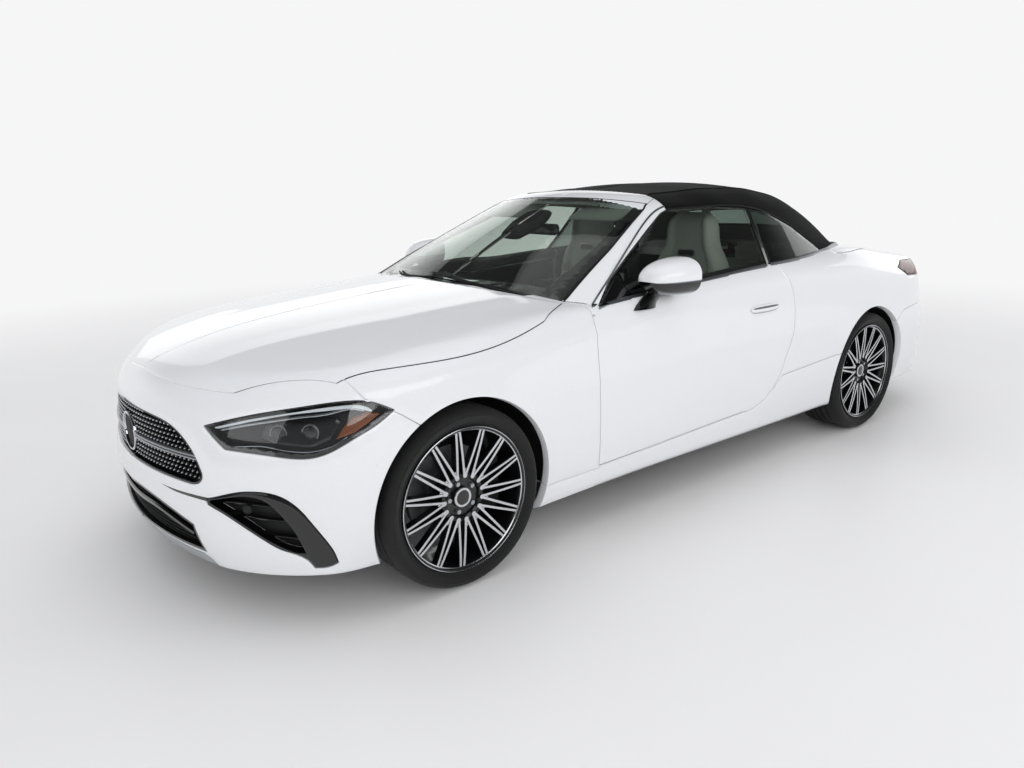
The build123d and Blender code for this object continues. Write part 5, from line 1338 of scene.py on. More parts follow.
for centre in nose_chart.under(PROJECTORS, 20)[0]:
    projector_parts += both(dome(centre, LAMP_AHEAD, 24, 9))
    bezel_parts += both(lathe([(25, -12), (25, 3), (26.5, 4), (28, 3), (28, -12), (25, -12)], centre,
                              LAMP_AHEAD, HIGH, 48))
piece("projectors", projector_parts, projector_glass, smooth=60)
piece("projector_bezels", bezel_parts, silver_paint)

# ---- grille
GRILLE_MIDDLE_Z = 575.0
STUD_STEP_Y, STUD_STEP_Z = 23.0, 17.0
BOSS_REACH, BAR_HALF = 80, 12               # the studs keep clear of the boss and of the middle bar


def on_points(tree, given):
    """A small round stud on every point, its top along the stored direction out."""
    points = add(tree, "GeometryNodeMeshToPoints", links={"Mesh": given["Geometry"]})
    stud = add(tree, "GeometryNodeMeshUVSphere", Segments=14, Rings=8, Radius=1.0)
    out, size = (add(tree, "GeometryNodeInputNamedAttribute", {"data_type": "FLOAT_VECTOR"}, Name=label)
                 for label in ("out", "size"))
    turn = add(tree, "FunctionNodeAlignRotationToVector", {"axis": "Z"}, {"Vector": out})
    return {"Points": points, "Instance": stud, "Rotation": turn, "Scale": size}


STUDS = copies_tree("studs_on_points", (), on_points)


def studs(name, lines, sink, size, material):
    """One mesh of many studs, each an ellipsoid of the given three radii in millimetres."""
    places, out = nose_chart.under(lines, sink)
    made = put(name, places, [], material, 0)
    for label, values in (("out", out), ("size", np.broadcast_to(np.asarray(size, float) * MM, places.shape))):
        stored = made.data.attributes.new(label, "FLOAT_VECTOR", "POINT")
        stored.data.foreach_set("vector", np.asarray(values, np.float32).ravel())
    grow(made, STUDS, Material=material)
    made.data.shade_smooth()
    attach(made, "body")


piece("grille_frame", [strip_on(nose_chart, whole(grille_line),
                                ((0.4, 2.5), (5, 3), (7, 9), (7, 34), (0.4, 34)))],
      gloss_black_abs, node="grille")
panel("grille_floor", lower_sheet(nose_sheet, 30), nose_grille, material=grained_black_pp, gap=1, lip=0.5,
      depth=3, across=True)
grille_flat = np.array([(y, z) for row, z in enumerate(np.arange(492, 694, STUD_STEP_Z))
                        for y in np.arange(-506, 507, STUD_STEP_Y) + (row % 2) * STUD_STEP_Y / 2])
grille_lines = body.lift("front", grille_flat)
grille_closed = np.concatenate((GRILLE_SHAPE, (GRILLE_SHAPE * (-1, 1))[::-1]))
in_hole = np.all([inside(grille_closed, grille_flat + shift)
                  for shift in ((0, 0), (12, 0), (-12, 0), (0, 9), (0, -9))], axis=0)
in_hole &= np.abs(grille_flat[:, 1] - GRILLE_MIDDLE_Z) > BAR_HALF
in_hole &= np.hypot(grille_flat[:, 0], grille_flat[:, 1] - GRILLE_MIDDLE_Z) > BOSS_REACH
studs("grille_studs", grille_lines[in_hole], 12, (4.6, 3.6, 6.0), chromed_abs)
studs("grille_stud_collars", grille_lines[in_hole], 16, (8.0, 6.4, 7.0), gloss_black_abs)
lattice = []
for z in np.unique(grille_flat[:, 1]):
    row = grille_lines[in_hole & (grille_flat[:, 1] == z)]
    lattice += [bar_on(nose_chart, part, 20, bar_section(5, 14, base=-12))
                for part in stretches(row[np.argsort(row[:, 1])], 60.0)]
piece("grille_lattice", lattice, gloss_black_abs)
bar_line = body.lift("front", np.column_stack((np.linspace(66, 500, 60), np.full(60, GRILLE_MIDDLE_Z))))
BLADE_HEIGHT, BLADE_SHIFT = 7.3, 4.85
blades = [bar_on(nose_chart, bar_line + (0, 0, shift), 4, bar_section(BLADE_HEIGHT, 16, 0.3, base=-13))
          for shift in (-BLADE_SHIFT, BLADE_SHIFT)]
piece("grille_blades", both(*blades), silver_paint)
piece("grille_blade_cores", both(bar_on(nose_chart, bar_line, 9, bar_section(4, 12, base=-10))),
      gloss_black_abs)
boss_place = body.lift("front", np.array(((0.0, GRILLE_MIDDLE_Z),)))[0] - (8, 0, 0)
for label, material, profile in (
        ("ring", chromed_abs, [(64, -14), (64, 2), (66, 6), (70, 7), (74, 4), (75, -2), (75, -14), (64, -14)]),
        ("disc", grained_black_pp, [(64.5, -12), (64.5, -3), (40, 1.0), (38, -0.5), (34, 1.2), (0, 3.5)])):
    piece(f"grille_centre_{label}", [lathe(profile, boss_place, (1, 0, 0), HIGH, 96)], material)

# ---- intakes, air curtains and the silver lip
INTAKE_SLAT = ((2427, 0, 336), (2412, 100, 338), (2401, 196, 340), (2379, 332, 324), (2351, 441, 302))
CURTAIN_SLATS = (((2310, 592, 412), (2242, 662, 402), (2190, 720, 394), (2150, 758, 390)),
                 ((2262, 668, 352), (2203, 738, 340), (2128, 790, 330)),
                 ((2330, 560, 438), (2262, 640, 444), (2215, 700, 440), (2170, 748, 436)))
SLOT_LINE = ((2426, 0, 447), (2419, 141, 449), (2405, 254, 446), (2385, 359, 444), (2352, 480, 447),
             (2335, 548, 449))
panel("intake_floor", lower_sheet(nose_sheet, 34), nose_intake, "bumper_inserts", material=grained_black_pp,
      gap=1, lip=0.5, depth=3, across=True)
piece("intake_frame", [strip_on(nose_chart, whole(intake_line),
                                ((0.4, 3), (9, 4), (11, 12), (11, 38), (0.4, 38)))],
      gloss_black_abs)
ribs = []
for z in np.arange(256, 376, 15):
    far = 470 - max(z - 330, 0) * 3.2
    row = body.lift("front", np.column_stack((np.linspace(0, far, 50), np.full(50, z))))
    ribs += both(bar_on(nose_chart, row, 26, bar_section(4, 10, base=-8)))
piece("intake_ribs", ribs, grained_black_pp)
piece("intake_slat", both(bar_on(nose_chart, curve(INTAKE_SLAT), 10, bar_section(20, 12, 0.4, base=-12))),
      gloss_black_abs)
panel("silver_lip", nose_sheet, on_lip, material=silver_paint, gap=0.6, lip=4, across=True)
panel("curtain_frames", lower_sheet(nose_sheet, -1.5), nose_curtain & ~nose_mouth, material=gloss_black_abs,
      gap=1.2, lip=5, depth=40)
panel("curtain_floors", lower_sheet(nose_sheet, 46), nose_mouth, material=grained_black_pp, gap=-4, lip=0.5,
      depth=3)
piece("curtain_slats", both(*(bar_on(nose_chart, curve(points), 20, bar_section(9, 16, 0.4, base=-16))
                              for points in CURTAIN_SLATS)), gloss_black_abs)
sensor = nose_chart.under([(2241, 660, 428)], 14)[0][0]
piece("round_units", both(dome(sensor, LAMP_AHEAD, 16, 4)), grained_black_pp)
slot_line = curve(SLOT_LINE)
slot_width = np.interp(np.linspace(0, 1, len(slot_line)), (0, 0.3, 1), (0.35, 0.45, 1.4))
piece("slots_under_grille", both(bar_on(nose_chart, slot_line, 2, bar_section(9, 4, 0.2, base=-1.6),
                                        slot_width)),
      gloss_black_abs)
parking = body.lift("side", np.array(((1893.0, 556.0),)))[0]
piece("parking_sensors", both(lathe(
    [(0, 0.6), (9.2, 0.4), (9.6, 0), (9.8, -1.2), (10.6, -1.2), (10.8, 0.3), (11.4, 0.3), (11.6, -3), (0, -3)],
    parking, (0.12, 0.99, 0), HIGH, 40)), white_enamel)


# ---- glass
def along_top(points, sink, section, view="side"):
    """A bar over the top's surface through points seen from a side."""
    return bar_on(top_chart, top.lift(view, curve(points, 10.0)), sink, section)


PANE = {"depth": 5, "lip": 1}
panel("windscreen_glass", top_sheet, glass_in_front, "windscreen", material=green_glass, across=True, **PANE)
panel("rear_window_glass", top_sheet, glass_behind, "rear_window", material=privacy_glass, across=True, **PANE)
panel("quarter_glass_panes", top_sheet, glass_in_quarter, "quarter_glasses", material=privacy_glass, **PANE)
on_doors("door_glass_pane", [panel_shape(top_sheet, glass_in_door, **PANE)], green_glass, "door_glass")

screen_edge = whole(screen_line[screen_line[:, 2] > 930])
screen_foot = foot[(foot[:, 1] < 668) & (foot[:, 0] > 800)]
screen_foot = np.concatenate(((screen_foot * (1, -1, 1))[:0:-1], screen_foot))
foot_run = np.linspace(-1, 1, len(screen_foot))
piece("windscreen_frit", [
    strip_on(top_chart, screen_edge, ((0.5, 5.4), (30, 5.4), (30, 6.4), (0.5, 6.4)), closed=False),
    bar_on(top_chart, screen_foot, 6.2, ((-58, -0.5), (58, -0.5), (58, 0.5), (-58, 0.5)),
           np.clip((1 - np.abs(foot_run)) * 12 + 0.35, 0, 1))], fired_frit)
piece("windscreen_seal", [strip_on(top_chart, screen_edge, ((-1.6, -0.4), (4, -0.4), (4, 6), (-1.6, 6)),
                                   closed=False)], seal_rubber)

# ---- trims of the pillars and the belt
PILLAR_TRIM = ((846, 958), (754, 1012), (604, 1096), (435, 1186), (258, 1274), (160, 1308), (118, 1316))
HEADER_LINE = ((247, 556, 1308), (222, 549, 1320), (196, 540, 1331), (150, 522, 1344), (109, 504, 1354))
DOOR_END_X = -388.0
SAIL = ((826, 951), (760, 990), (676, 1040), (640, 1054), (634, 1000), (636, 972), (826, 951))
CANOPY_EDGE = ((118, 1303), (-100, 1308), (-317, 1309), (-491, 1296), (-646, 1263), (-810, 1199), (-935, 1122),
               (-1003, 1056), (-1016, 1046))
piece("pillar_strips", both(along_top(PILLAR_TRIM, -1.6, bar_section(8, 4.0, 0.3, base=-2.2))), anodised_strip)
piece("header_seams", both(bar_on(top_chart, curve(HEADER_LINE), 0.0, bar_section(2.2, 2.2, 0.2, base=-1.6))),
      seal_rubber)

foot_step = unit(np.gradient(foot[:, :2], axis=0))
foot_normal = foot_step[:, ::-1] * (1, -1)


def belt_line(shift, from_x, to_x):
    """The line that lies shift millimetres outside the top's foot, on the body."""
    shift = np.interp(foot[:, 0], (-1500, -1100, -1000), (shift + 14, shift + 8, shift)) if shift > 6 else shift
    plan = foot[:, :2] + foot_normal * np.reshape(shift, (-1, 1))
    return body.lift("plan", plan[(foot[:, 0] <= from_x) & (foot[:, 0] >= to_x)])


for from_x, to_x, owner in ((852, DOOR_END_X + 2, "door"), (DOOR_END_X - 4, -1760, "body")):
    line = curve(belt_line(14.0, from_x, to_x)[::3], 12.0)
    growth = np.interp(line[:, 0], (-1700, -1250, -1000, 700, 852), (2.0, 1.9, 1.0, 1.0, 0.55))
    trim = bar_on(side_chart, line, 0.4, ((-11, -1.5), (11, -1.5), (11, 1.2), (9, 2.4), (-9, 2.4),
                                          (-11, 1.2)), growth)
    seal = bar_on(side_chart, belt_line(1.5, from_x, to_x), -1.0, bar_section(9, 8, 0.4, base=-4))
    for side, own in SIDES:
        home = f"door_{side}" if owner == "door" else "body"
        piece(f"belt_trim_{owner}_{side}", [own(trim)], anodised_strip, home)
        piece(f"belt_seal_{owner}_{side}", [own(seal)], seal_rubber, home)
divider = along_top(((632, 965), (630, 1062)), -1.5, bar_section(8, 6, 0.3, base=-4))
on_doors("mirror_sail", [patch(top_chart, top.lift("side", trace(SAIL)), -2.0, 8, 1.2), divider],
         gloss_black_abs)
piece("window_uprights", both(along_top(((-386, 1012), (-420, 1100), (-450, 1190), (-476, 1288)), -1.2,
                                        bar_section(26, 8, 0.3, base=-6))), gloss_black_abs)
piece("canopy_edge_seals", both(along_top(CANOPY_EDGE, 0.5, bar_section(13, 6, 0.4, base=-5))), seal_rubber)

# ---- soft top
CANOPY_SEAM = ((84, 452), (-350, 470), (-900, 452), (-1180, 430), (-1420, 400))
canopy = piece("canopy", [panel_shape(top_sheet, on_top, across=True, depth=5, lip=2)], acrylic_canvas, "body",
               "soft_top", slot="fabric")
binding = bar_on(side_chart, belt_line(-6.0, -1010, -1760), -3.0, bar_section(14, 10, 0.4, base=-4))
seams = piece("canopy_seams", both(along_top(CANOPY_SEAM, -0.2, bar_section(16, 1.6, 0.4, base=-1),
                                             view="plan"),
                                   binding), acrylic_canvas)
for cloth in (canopy, seams):
    # a UV map in metres that follows the top, for the weave
    mesh = cloth.data
    flat = top_chart.flat(places_of(mesh)) * MM
    corners = np.empty(len(mesh.loops), np.int32)
    mesh.loops.foreach_get("vertex_index", corners)
    mesh.uv_layers.new(name="cloth").data.foreach_set("uv", flat[corners].astype(np.float32).ravel())

# ---- mirrors
MIRROR_BACK_X, MIRROR_LENGTH = 414.0, 196.0
MIRROR_MIDDLE = (914.0, 1046.0)              # across and up
MIRROR_HALF = (107.0, 79.0)
MIRROR_SHARES = np.concatenate((np.linspace(0, 0.8, 13), (0.87, 0.93, 0.97, 1.0)))
NECK = (((500, 884, 1006), 54, 28), ((506, 870, 982), 52, 25), ((548, 872, 960), 54, 22),
        ((584, 884, 940), 60, 20), ((600, 890, 922), 66, 20))


def power_turn(turns, power):
    """Points of a squared-off circle."""
    return (np.sign(np.cos(turns)) * np.abs(np.cos(turns)) ** power,
            np.sign(np.sin(turns)) * np.abs(np.sin(turns)) ** power)


def mirror_shell(from_turn, to_turn, grow, shares=MIRROR_SHARES):
    """Part of the housing, a half egg that is flat behind: turn 0 is outward and 90 degrees is up."""
    count = 48 if to_turn - from_turn == 360 else 49       # a whole turn meets its own start
    turns = np.radians(np.linspace(from_turn, to_turn, 49))[:count]
    verts = []
    for share in shares:
        size = max(1 - share ** 2.3, 0.0) ** 0.5
        y, z = power_turn(turns, 0.8)
        y = y * (MIRROR_HALF[0] + grow) * (0.25 + 0.75 * size)
        z = z * (MIRROR_HALF[1] + grow) * (0.12 + 0.88 * size)
        y = y * (1 - 0.08 * share) - 14 * share ** 2
        sweep_back = 26 * (y + MIRROR_HALF[0]) / (2 * MIRROR_HALF[0]) * (1 - share)
        verts.append(np.column_stack((MIRROR_BACK_X + share * (MIRROR_LENGTH + grow) - sweep_back * 0.6,
                                      MIRROR_MIDDLE[0] + y, MIRROR_MIDDLE[1] + z - 10 * share ** 2)))
    return outward((np.concatenate(verts), tube_faces(len(shares), len(turns))))


face, far = mirror_shell(0, 360, -9, (0.0, 0.006))
face = face - (3.2, 0, 0), far
neck = outward((np.concatenate([round_points(28) * (long, wide) @ ((1, 0, 0), (0, 1, 0)) + place
                                for place, long, wide in NECK]), tube_faces(len(NECK), 28)))
for label, parts, material, node, smooth in (
        ("cap", [mirror_shell(-6, 186, 0)], white_enamel, "mirror", 50),
        ("tray", [mirror_shell(186, 354, -1.2), neck], gloss_black_abs, None, 50),
        ("bead", [mirror_shell(184.5, 187.5, 0.8), mirror_shell(352.5, 355.5, 0.8)], anodised_strip, None, 50),
        ("rim", [mirror_shell(0, 360, -2.5, (0.0, 0.012))], grained_black_pp, None, 40),
        ("face", [face], mirror_glass, None, 40)):
    on_doors(f"mirror_{label}", parts, material, node, smooth)

# ---- door handles
HANDLE_MIDDLE = (-250.0, 832.0)


def handle_plate(half_long, half_high, shift, power, sink, depth, lip, spacing=8.0):
    return patch(side_chart, handle_oval(half_long, half_high, shift, power), sink, depth, lip, spacing)


def handle_oval(half_long, half_high, shift, power):
    """A squared-off oval on the door about the handle's middle, shifted up."""
    oval = np.column_stack(power_turn(np.linspace(0, 2 * np.pi, 56, endpoint=False), 2 / power))
    return body.lift("side", oval * (half_long, half_high) + HANDLE_MIDDLE + (0, shift))


cup_line = handle_oval(124, 35, 0, 2.0)
cup_ring = strip_on(side_chart, np.concatenate((cup_line, cup_line[:1])),
                    ((0, 0.5), (0.6, -0.5), (2.4, -0.9), (4, -0.3), (4, 2), (0, 2)))
# The grey plate just under the blade is a painted shadow: it lies where the blade's shadow falls in the cup.
for label, part, material in (("blade", handle_plate(118, 17, 0, 3.0, -8, 11, 4), white_enamel),
                              ("insert", handle_plate(104, 5, 3, 3.0, -9.0, 3, 1.0, 6.0), anodised_strip),
                              ("shade", handle_plate(120, 20, -2, 2.6, -0.5, 3, 0.4), silver_paint),
                              ("cup", cup_ring, white_enamel)):
    on_doors(f"handle_{label}", [part], material)

# ---- cowl and wipers
WIPERS = (((968, 560, 1004), (972, 300, 1008), (966, 40, 1014), (944, -180, 1030)),
          ((966, 30, 1006), (978, -220, 1004), (968, -420, 1008), (925, -600, 1026)))
wiper_lines = [curve(points) for points in WIPERS]
piece("wiper_arms", [bar_on(top_chart, line, -9, bar_section(14, 6, 0.4), np.linspace(1.1, 0.55, len(line)))
                     for line in wiper_lines], grained_black_pp)
piece("wiper_blades", [bar_on(top_chart, line[len(line) // 4:] + (0, 0, 16), -1.0,
                              ((-5, 0), (5, 0), (4, 8), (1, 11), (-3, 9))) for line in wiper_lines],
      seal_rubber)

# ---- seats
SEAT_Y = 372.0
PLEAT_STEP, PLEAT_HALF, PLEAT_DEPTH = 44.0, 6.5, 8.0
LEAN, UP = math.radians(6), math.pi / 2
# A stuffed body's rows: x, z, lean of its front face, half width, half thickness.
BACK_ROWS = (
    (-292, 436, LEAN, 222, 58), (-318, 520, LEAN, 236, 66), (-336, 640, LEAN, 238, 68),
    (-352, 800, LEAN, 236, 68), (-366, 920, LEAN, 230, 66), (-372, 1000, 0.06, 214, 62),
    (-374, 1050, 0.03, 186, 58), (-374, 1090, 0.0, 158, 55), (-371, 1130, 0.0, 148, 54),
    (-368, 1190, 0.0, 144, 52), (-366, 1240, 0.02, 132, 46), (-366, 1268, 0.05, 112, 36))
BASE_ROWS = ((-262, 386, UP, 226, 52), (-180, 384, UP, 236, 60), (-60, 390, UP, 238, 62),
             (60, 402, UP, 238, 62), (130, 402, UP - 0.15, 232, 54), (158, 392, UP - 0.5, 220, 44))
BENCH_BACK = ((-1010, 400, 0.16, 420, 44), (-1028, 500, 0.16, 438, 56), (-1050, 640, 0.16, 440, 60),
              (-1082, 820, 0.16, 438, 58), (-1108, 930, 0.12, 430, 50), (-1118, 962, 0.1, 418, 36))
BENCH_BASE = ((-1010, 385, UP, 420, 40), (-940, 388, UP, 438, 48), (-800, 398, UP, 440, 52),
              (-680, 402, UP - 0.1, 438, 48), (-632, 390, UP - 0.5, 426, 38))
REAR_HEAD = ((-1118, 950, 0.08, 104, 34), (-1120, 975, 0.08, 118, 44), (-1122, 1015, 0.05, 118, 44),
             (-1124, 1048, 0.05, 104, 34), (-1124, 1060, 0.05, 92, 26))
ARMREST_ROWS = ((-420, 662, UP, 96, 24), (-300, 668, UP, 104, 30), (-150, 668, UP, 104, 30),
                (-60, 660, UP, 96, 24))


def pad(rows, bolster=0.0, pleated=(0, 0), power=4.0, count=190, crown=0.0):
    """A stuffed body of closed loops, one for each row, closer together on its front.

    The front face has raised sides, and grooves between the shares given in pleated."""
    rows = np.asarray(rows, float)
    run = np.concatenate(([0], np.cumsum(np.linalg.norm(np.diff(rows[:, :2], axis=0), axis=1))))
    fine = np.linspace(0, run[-1], 72)
    rows = np.column_stack([np.interp(fine, run, rows[:, i]) for i in range(5)])
    soften = np.hanning(7)[1:-1] / np.hanning(7)[1:-1].sum()
    for i in (0, 1, 3, 4):
        column = rows[:, i]
        longer = np.concatenate((2 * column[0] - column[2:0:-1], column, 2 * column[-1] - column[-2:-4:-1]))
        rows[:, i] = np.convolve(longer, soften, "valid")
    across, through = power_turn(np.linspace(0, 2 * np.pi, 6001), 2 / power)
    step = np.hypot(np.diff(across), np.diff(through) * 0.3) * np.where(through[1:] > 0.5, 2.2, 0.7)
    run = np.concatenate(([0], np.cumsum(step)))
    even = np.linspace(0, run[-1], count, endpoint=False)
    across, through = np.interp(even, run, across), np.interp(even, run, through)
    front = step_between(through, 0.35, 0.8)
    side = step_between(np.abs(across), 0.55, 0.8) * (1 - step_between(np.abs(across), 0.86, 1.0) * 0.35)
    verts = []
    for share, (x, z, lean, half_width, half_depth) in zip(np.arange(72) / 71, rows):
        close = np.clip(1 - (1 - min(share * 13, (1 - share) * 13, 1)) ** 2.2, 0.03, 1)
        y = across * half_width * (0.9 + 0.1 * close)
        out = through * half_depth * close + front * close * (bolster * side + crown * (1 - across ** 2))
        if pleated[0] < share < pleated[1]:
            fade = (step_between(share, pleated[0], pleated[0] + 0.06)
                    * (1 - step_between(share, pleated[1] - 0.06, pleated[1])))
            groove = np.abs((y + PLEAT_STEP / 2) % PLEAT_STEP - PLEAT_STEP / 2)
            out -= front * fade * PLEAT_DEPTH * np.exp(-(groove / PLEAT_HALF) ** 2) * (np.abs(across) < 0.58)
        verts.append(np.column_stack((x + out * math.cos(lean), y, z + out * math.sin(lean))))
    return outward((np.concatenate(verts), tube_faces(len(rows), count)))


def shifted(part, x=0.0, y=0.0, z=0.0):
    return part[0] + np.array((x, y, z)), part[1]


def cushion(name, parts, material, node=None):
    """A padded piece: a cover over foam, which fills most of it."""
    piece(name, parts, material, "body", node, 70)


SLOT_Z = 1062.0
seat_back = pad(BACK_ROWS, 20, (0.10, 0.66))
seat_base = pad(BASE_ROWS, 18, (0.12, 0.92), crown=6)
slot = slab(rounded(104, 26, 12), (-310, 0, SLOT_Z), (0, 1, 0), HIGH, 4, 1.5)
slot_rim = slab(rounded(116, 38, 18), (-311.5, 0, SLOT_Z), (0, 1, 0), HIGH, 3.5, 1.5)
edges = [[(x + depth * 0.966 + 2.2, sign * width * 0.60, z) for x, z, _, width, depth in BACK_ROWS[1:-2]]
         for sign in (1, -1)]
piping = [sweep(curve(points), round_points(8, 2.6), up=(1, 0, 0)) for points in edges]
plinth = slab(((-360, -196), (110, -196), (110, 196), (-360, 196)), (0, 0, 229), (1, 0, 0), (0, 1, 0), 104, 20)
belt_run = curve(((-306, 0, 975), (-270, -40, 900), (-262, -120, 720), (-270, -150, 520)))
for side, sign in (("left", 1), ("right", -1)):
    moved = [shifted(part, y=sign * SEAT_Y) for part in (seat_back, seat_base, slot, slot_rim, plinth, *piping)]
    cushion(f"seat_back_{side}", moved[:1], pale_leather, "front_seats")
    cushion(f"seat_cushion_{side}", moved[1:2], pale_leather)
    piece(f"seat_vent_{side}", moved[2:3], grained_black_pp)
    piece(f"seat_vent_rim_{side}", moved[3:4], silver_paint)
    piece(f"seat_plinth_{side}", moved[4:5], grained_black_pp)
    piece(f"seat_piping_{side}", moved[5:], pale_leather, smooth=60)
    piece(f"belt_{side}", [sweep(belt_run * (1, sign, 1) + (0, sign * (SEAT_Y + 166), 0),
                                 bar_section(44, 1.6, 0.3), up=(1, 0, 0.15))], belt_webbing)
cushion("bench_back", [pad(BENCH_BACK, 10, (0.15, 0.9), count=200)], pale_leather, "rear_bench")
cushion("bench_cushion", [pad(BENCH_BASE, 10, (0.15, 0.85), crown=8, count=200)], pale_leather)
cushion("rear_headrests", [shifted(pad(REAR_HEAD, count=90), y=y) for y in (243, -243)], pale_leather)


# ---- dash, console and steering wheel
def plate_facing(outline, origin, ahead, thickness, bevel=1.0):
    """A plate whose face looks ahead, with its first axis across the car."""
    first = unit(np.cross(HIGH, unit(ahead)))
    return slab(outline, origin, first, np.cross(unit(ahead), first), thickness, bevel)


DASH_BARS = (
    ("instrument_hood", ((612, 200, 952), (596, 240, 982), (590, 372, 994), (596, 504, 982), (612, 544, 952)),
     bar_section(96, 9, 0.4, base=-4), HIGH, foam_skin),
    ("dash_trim", ((548, 690, 862), (541, 420, 868), (539, 0, 872), (541, -420, 868), (548, -690, 862)),
     bar_section(26, 5, 0.3, base=-1), (-0.95, 0, 0.2), gloss_black_abs),
    ("demister_slot", ((700, 690, 963), (742, 400, 957), (752, 0, 955), (742, -400, 957), (700, -690, 963)),
     bar_section(40, 3, 0.3, base=-1), (0.2, 0, 1), grained_black_pp))
for label, points, section, up, material in DASH_BARS:
    piece(label, [sweep(curve(points), section, up=up)], material)
for label, size, place, ahead, thickness, bevel in (
        ("instrument", (306, 120, 12), (560, 372, 925), (-0.97, 0, 0.24), 8, 2),
        ("centre", (206, 270, 14), (512, 0, 800), (-0.86, 0, 0.5), 14, 3)):
    piece(f"{label}_display", [plate_facing(rounded(*size), place, ahead, thickness, bevel)], dark_display)
VENT_RING = ((33, -14), (33, 4), (36, 6), (41, 5), (42, -2), (42, -14), (33, -14))
VENT_HUB = ((0, 2), (10, 3), (12, 0), (12, -8), (0, -8))
piece("air_vents", [lathe(profile, (545, y, 905), (-1, 0, 0.1), HIGH, steps) for y in (-620, -96, 96, 620)
                    for profile, steps in ((VENT_RING, 48), (VENT_HUB, 32))], silver_paint)
piece("console_top", [slab(((-500, -110), (420, -112), (500, -90), (500, 90), (420, 112), (-500, 110)),
                           (0, 0, 640), (1, 0, 0), (0, 1, 0), 12, 8)], gloss_black_abs)
cushion("armrest", [pad(ARMREST_ROWS, count=80, crown=6)], black_leather)

COLUMN_TURN = math.radians(24)
COLUMN = np.array((math.cos(COLUMN_TURN), 0, -math.sin(COLUMN_TURN)))
WHEEL_UP = np.array((math.sin(COLUMN_TURN), 0, math.cos(COLUMN_TURN)))
WHEEL_MIDDLE = np.array((440.0, 372.0, 862.0))
GRIP_REACH, GRIP_RADIUS = 171, 15
grip = (round_points(18, GRIP_RADIUS) * (1, 1.05) + (GRIP_REACH, 0)).tolist()
boss = lathe([(0, -22), (44, -20), (64, -12), (74, 0), (74, 26), (50, 44), (0, 44)], WHEEL_MIDDLE, COLUMN,
             WHEEL_UP, 72)
spokes, spoke_trims = [], []
for angle, width in ((8, 34), (172, 34), (262, 16), (278, 16)):
    out = WHEEL_UP * math.sin(math.radians(angle)) + np.array((0, 1, 0)) * math.cos(math.radians(angle))
    start, end = WHEEL_MIDDLE + out * 62 - COLUMN * 4, WHEEL_MIDDLE + out * 162
    path = np.array([start * (1 - t) + end * t for t in np.linspace(0, 1, 8)])
    spokes.append(sweep(path, bar_section(width, 12, 0.4, base=-6), up=-COLUMN))
    spoke_trims.append(sweep(path - COLUMN * 7.5, bar_section(10, 2, 0.3), up=-COLUMN))
piece("steering_grip", [lathe([*grip, grip[0]], WHEEL_MIDDLE, COLUMN, WHEEL_UP, 120)], black_leather,
      "steering_wheel", "steering_wheel", 60)
piece("steering_boss", [boss, *spokes], foam_skin, "steering_wheel")
piece("steering_trims", spoke_trims, silver_paint, "steering_wheel")


# ---- doors' and sides' trims, headlining, carpets
def side_plate(points, y, thickness, bevel=4.0):
    """A plate inside the left wall, given by its side view, which faces the cabin."""
    outline = trace((*points, points[0]), 20.0)[:-1]
    ahead = np.roll(outline, -1, axis=0)
    if np.sum(outline[:, 0] * ahead[:, 1] - ahead[:, 0] * outline[:, 1]) < 0:
        outline = outline[::-1]
    return outward(slab(outline, (0, y, 0), (1, 0, 0), HIGH, thickness, bevel))


CAP_SECTION = ((0, -9, -16), (0, -9, 1), (0, -16, 4), (1, 24, 2), (1, 8, -4), (1, 0, -16), (1, 2, -44),
               (1, 14, -46))
TOP_INNER_Y = 726.0


def belt_cap(from_x, to_x):
    """The padded top of a side wall, from the glass to its inner face."""
    line = curve(foot[(foot[:, 0] <= from_x) & (foot[:, 0] >= to_x)][::3], 16.0)
    verts = [(x, (TOP_INNER_Y if inner else y) + across, z + up)
             for x, y, z in line for inner, across, up in CAP_SECTION]
    return outward((verts, tube_faces(len(line), len(CAP_SECTION))))


DOOR_TRIM = ((838, 330), (846, 560), (842, 700, 828, 900), (700, 925), (300, 940), (-100, 955), (-360, 965),
             (-372, 820), (-380, 560), (-300, 400), (-120, 352), (560, 330))
ARMREST = ((520, 610), (560, 660), (200, 700), (-240, 708), (-260, 650), (0, 618))
POCKET = ((640, 385), (660, 470), (0, 480), (-160, 430), (-60, 385))
INSERT = ((500, 730), (520, 800), (-220, 812), (-250, 735))
lever = slab(rounded(120, 18, 8), (400, 722, 775), (-1, 0, 0), HIGH, 8, 3)
speaker = lathe([(0, 3), (78, 3), (82, 0), (82, -6), (0, -6)], (560, 725, 480), (0, -1, 0), HIGH, 56)
on_doors("door_trim", [side_plate(DOOR_TRIM, 742, 12, 6), side_plate(POCKET, 728, 26, 10)], foam_skin)
on_doors("door_armrest", [side_plate(ARMREST, 728, 52, 16), side_plate(INSERT, 728, 7, 4)], pale_leather)
on_doors("door_lever", [lever, speaker], silver_paint)
on_doors("door_top", [belt_cap(838, -384)], foam_skin)
piece("quarter_tops", both(belt_cap(-404, -1000)), foam_skin)
piece("quarter_trims", both(side_plate(((-405, 430), (-398, 700, -404, 985), (-700, 985), (-1060, 985),
                                        (-1080, 430)),
                                       738, 10, 5)), foam_skin)
panel("headlining", lower_sheet(top_sheet, 24), on_top, material=headlining, gap=3, lip=1, depth=2, across=True)
panel("pillar_linings", lower_sheet(top_sheet, 39), on_frame, material=foam_skin, gap=1, lip=1, depth=2,
      across=True)
shelf = trace(((-1120, -560), (-1120, 560), (-1560, 470), (-1640, 0), (-1560, -470), (-1120, -560)),
              30)[:-1][::-1]
piece("well_cover", [outward(slab(shelf, (0, 0, 880), (1, 0, 0), (0, 1, 0), 6, 2))], tufted_carpet)
CARPET_TOP = 229.0
mats = [rounded(length, width, radius) + (x, 0) for length, width, radius, x in (
    (760, 560, 60, 560), (230, 520, 40, -480))]
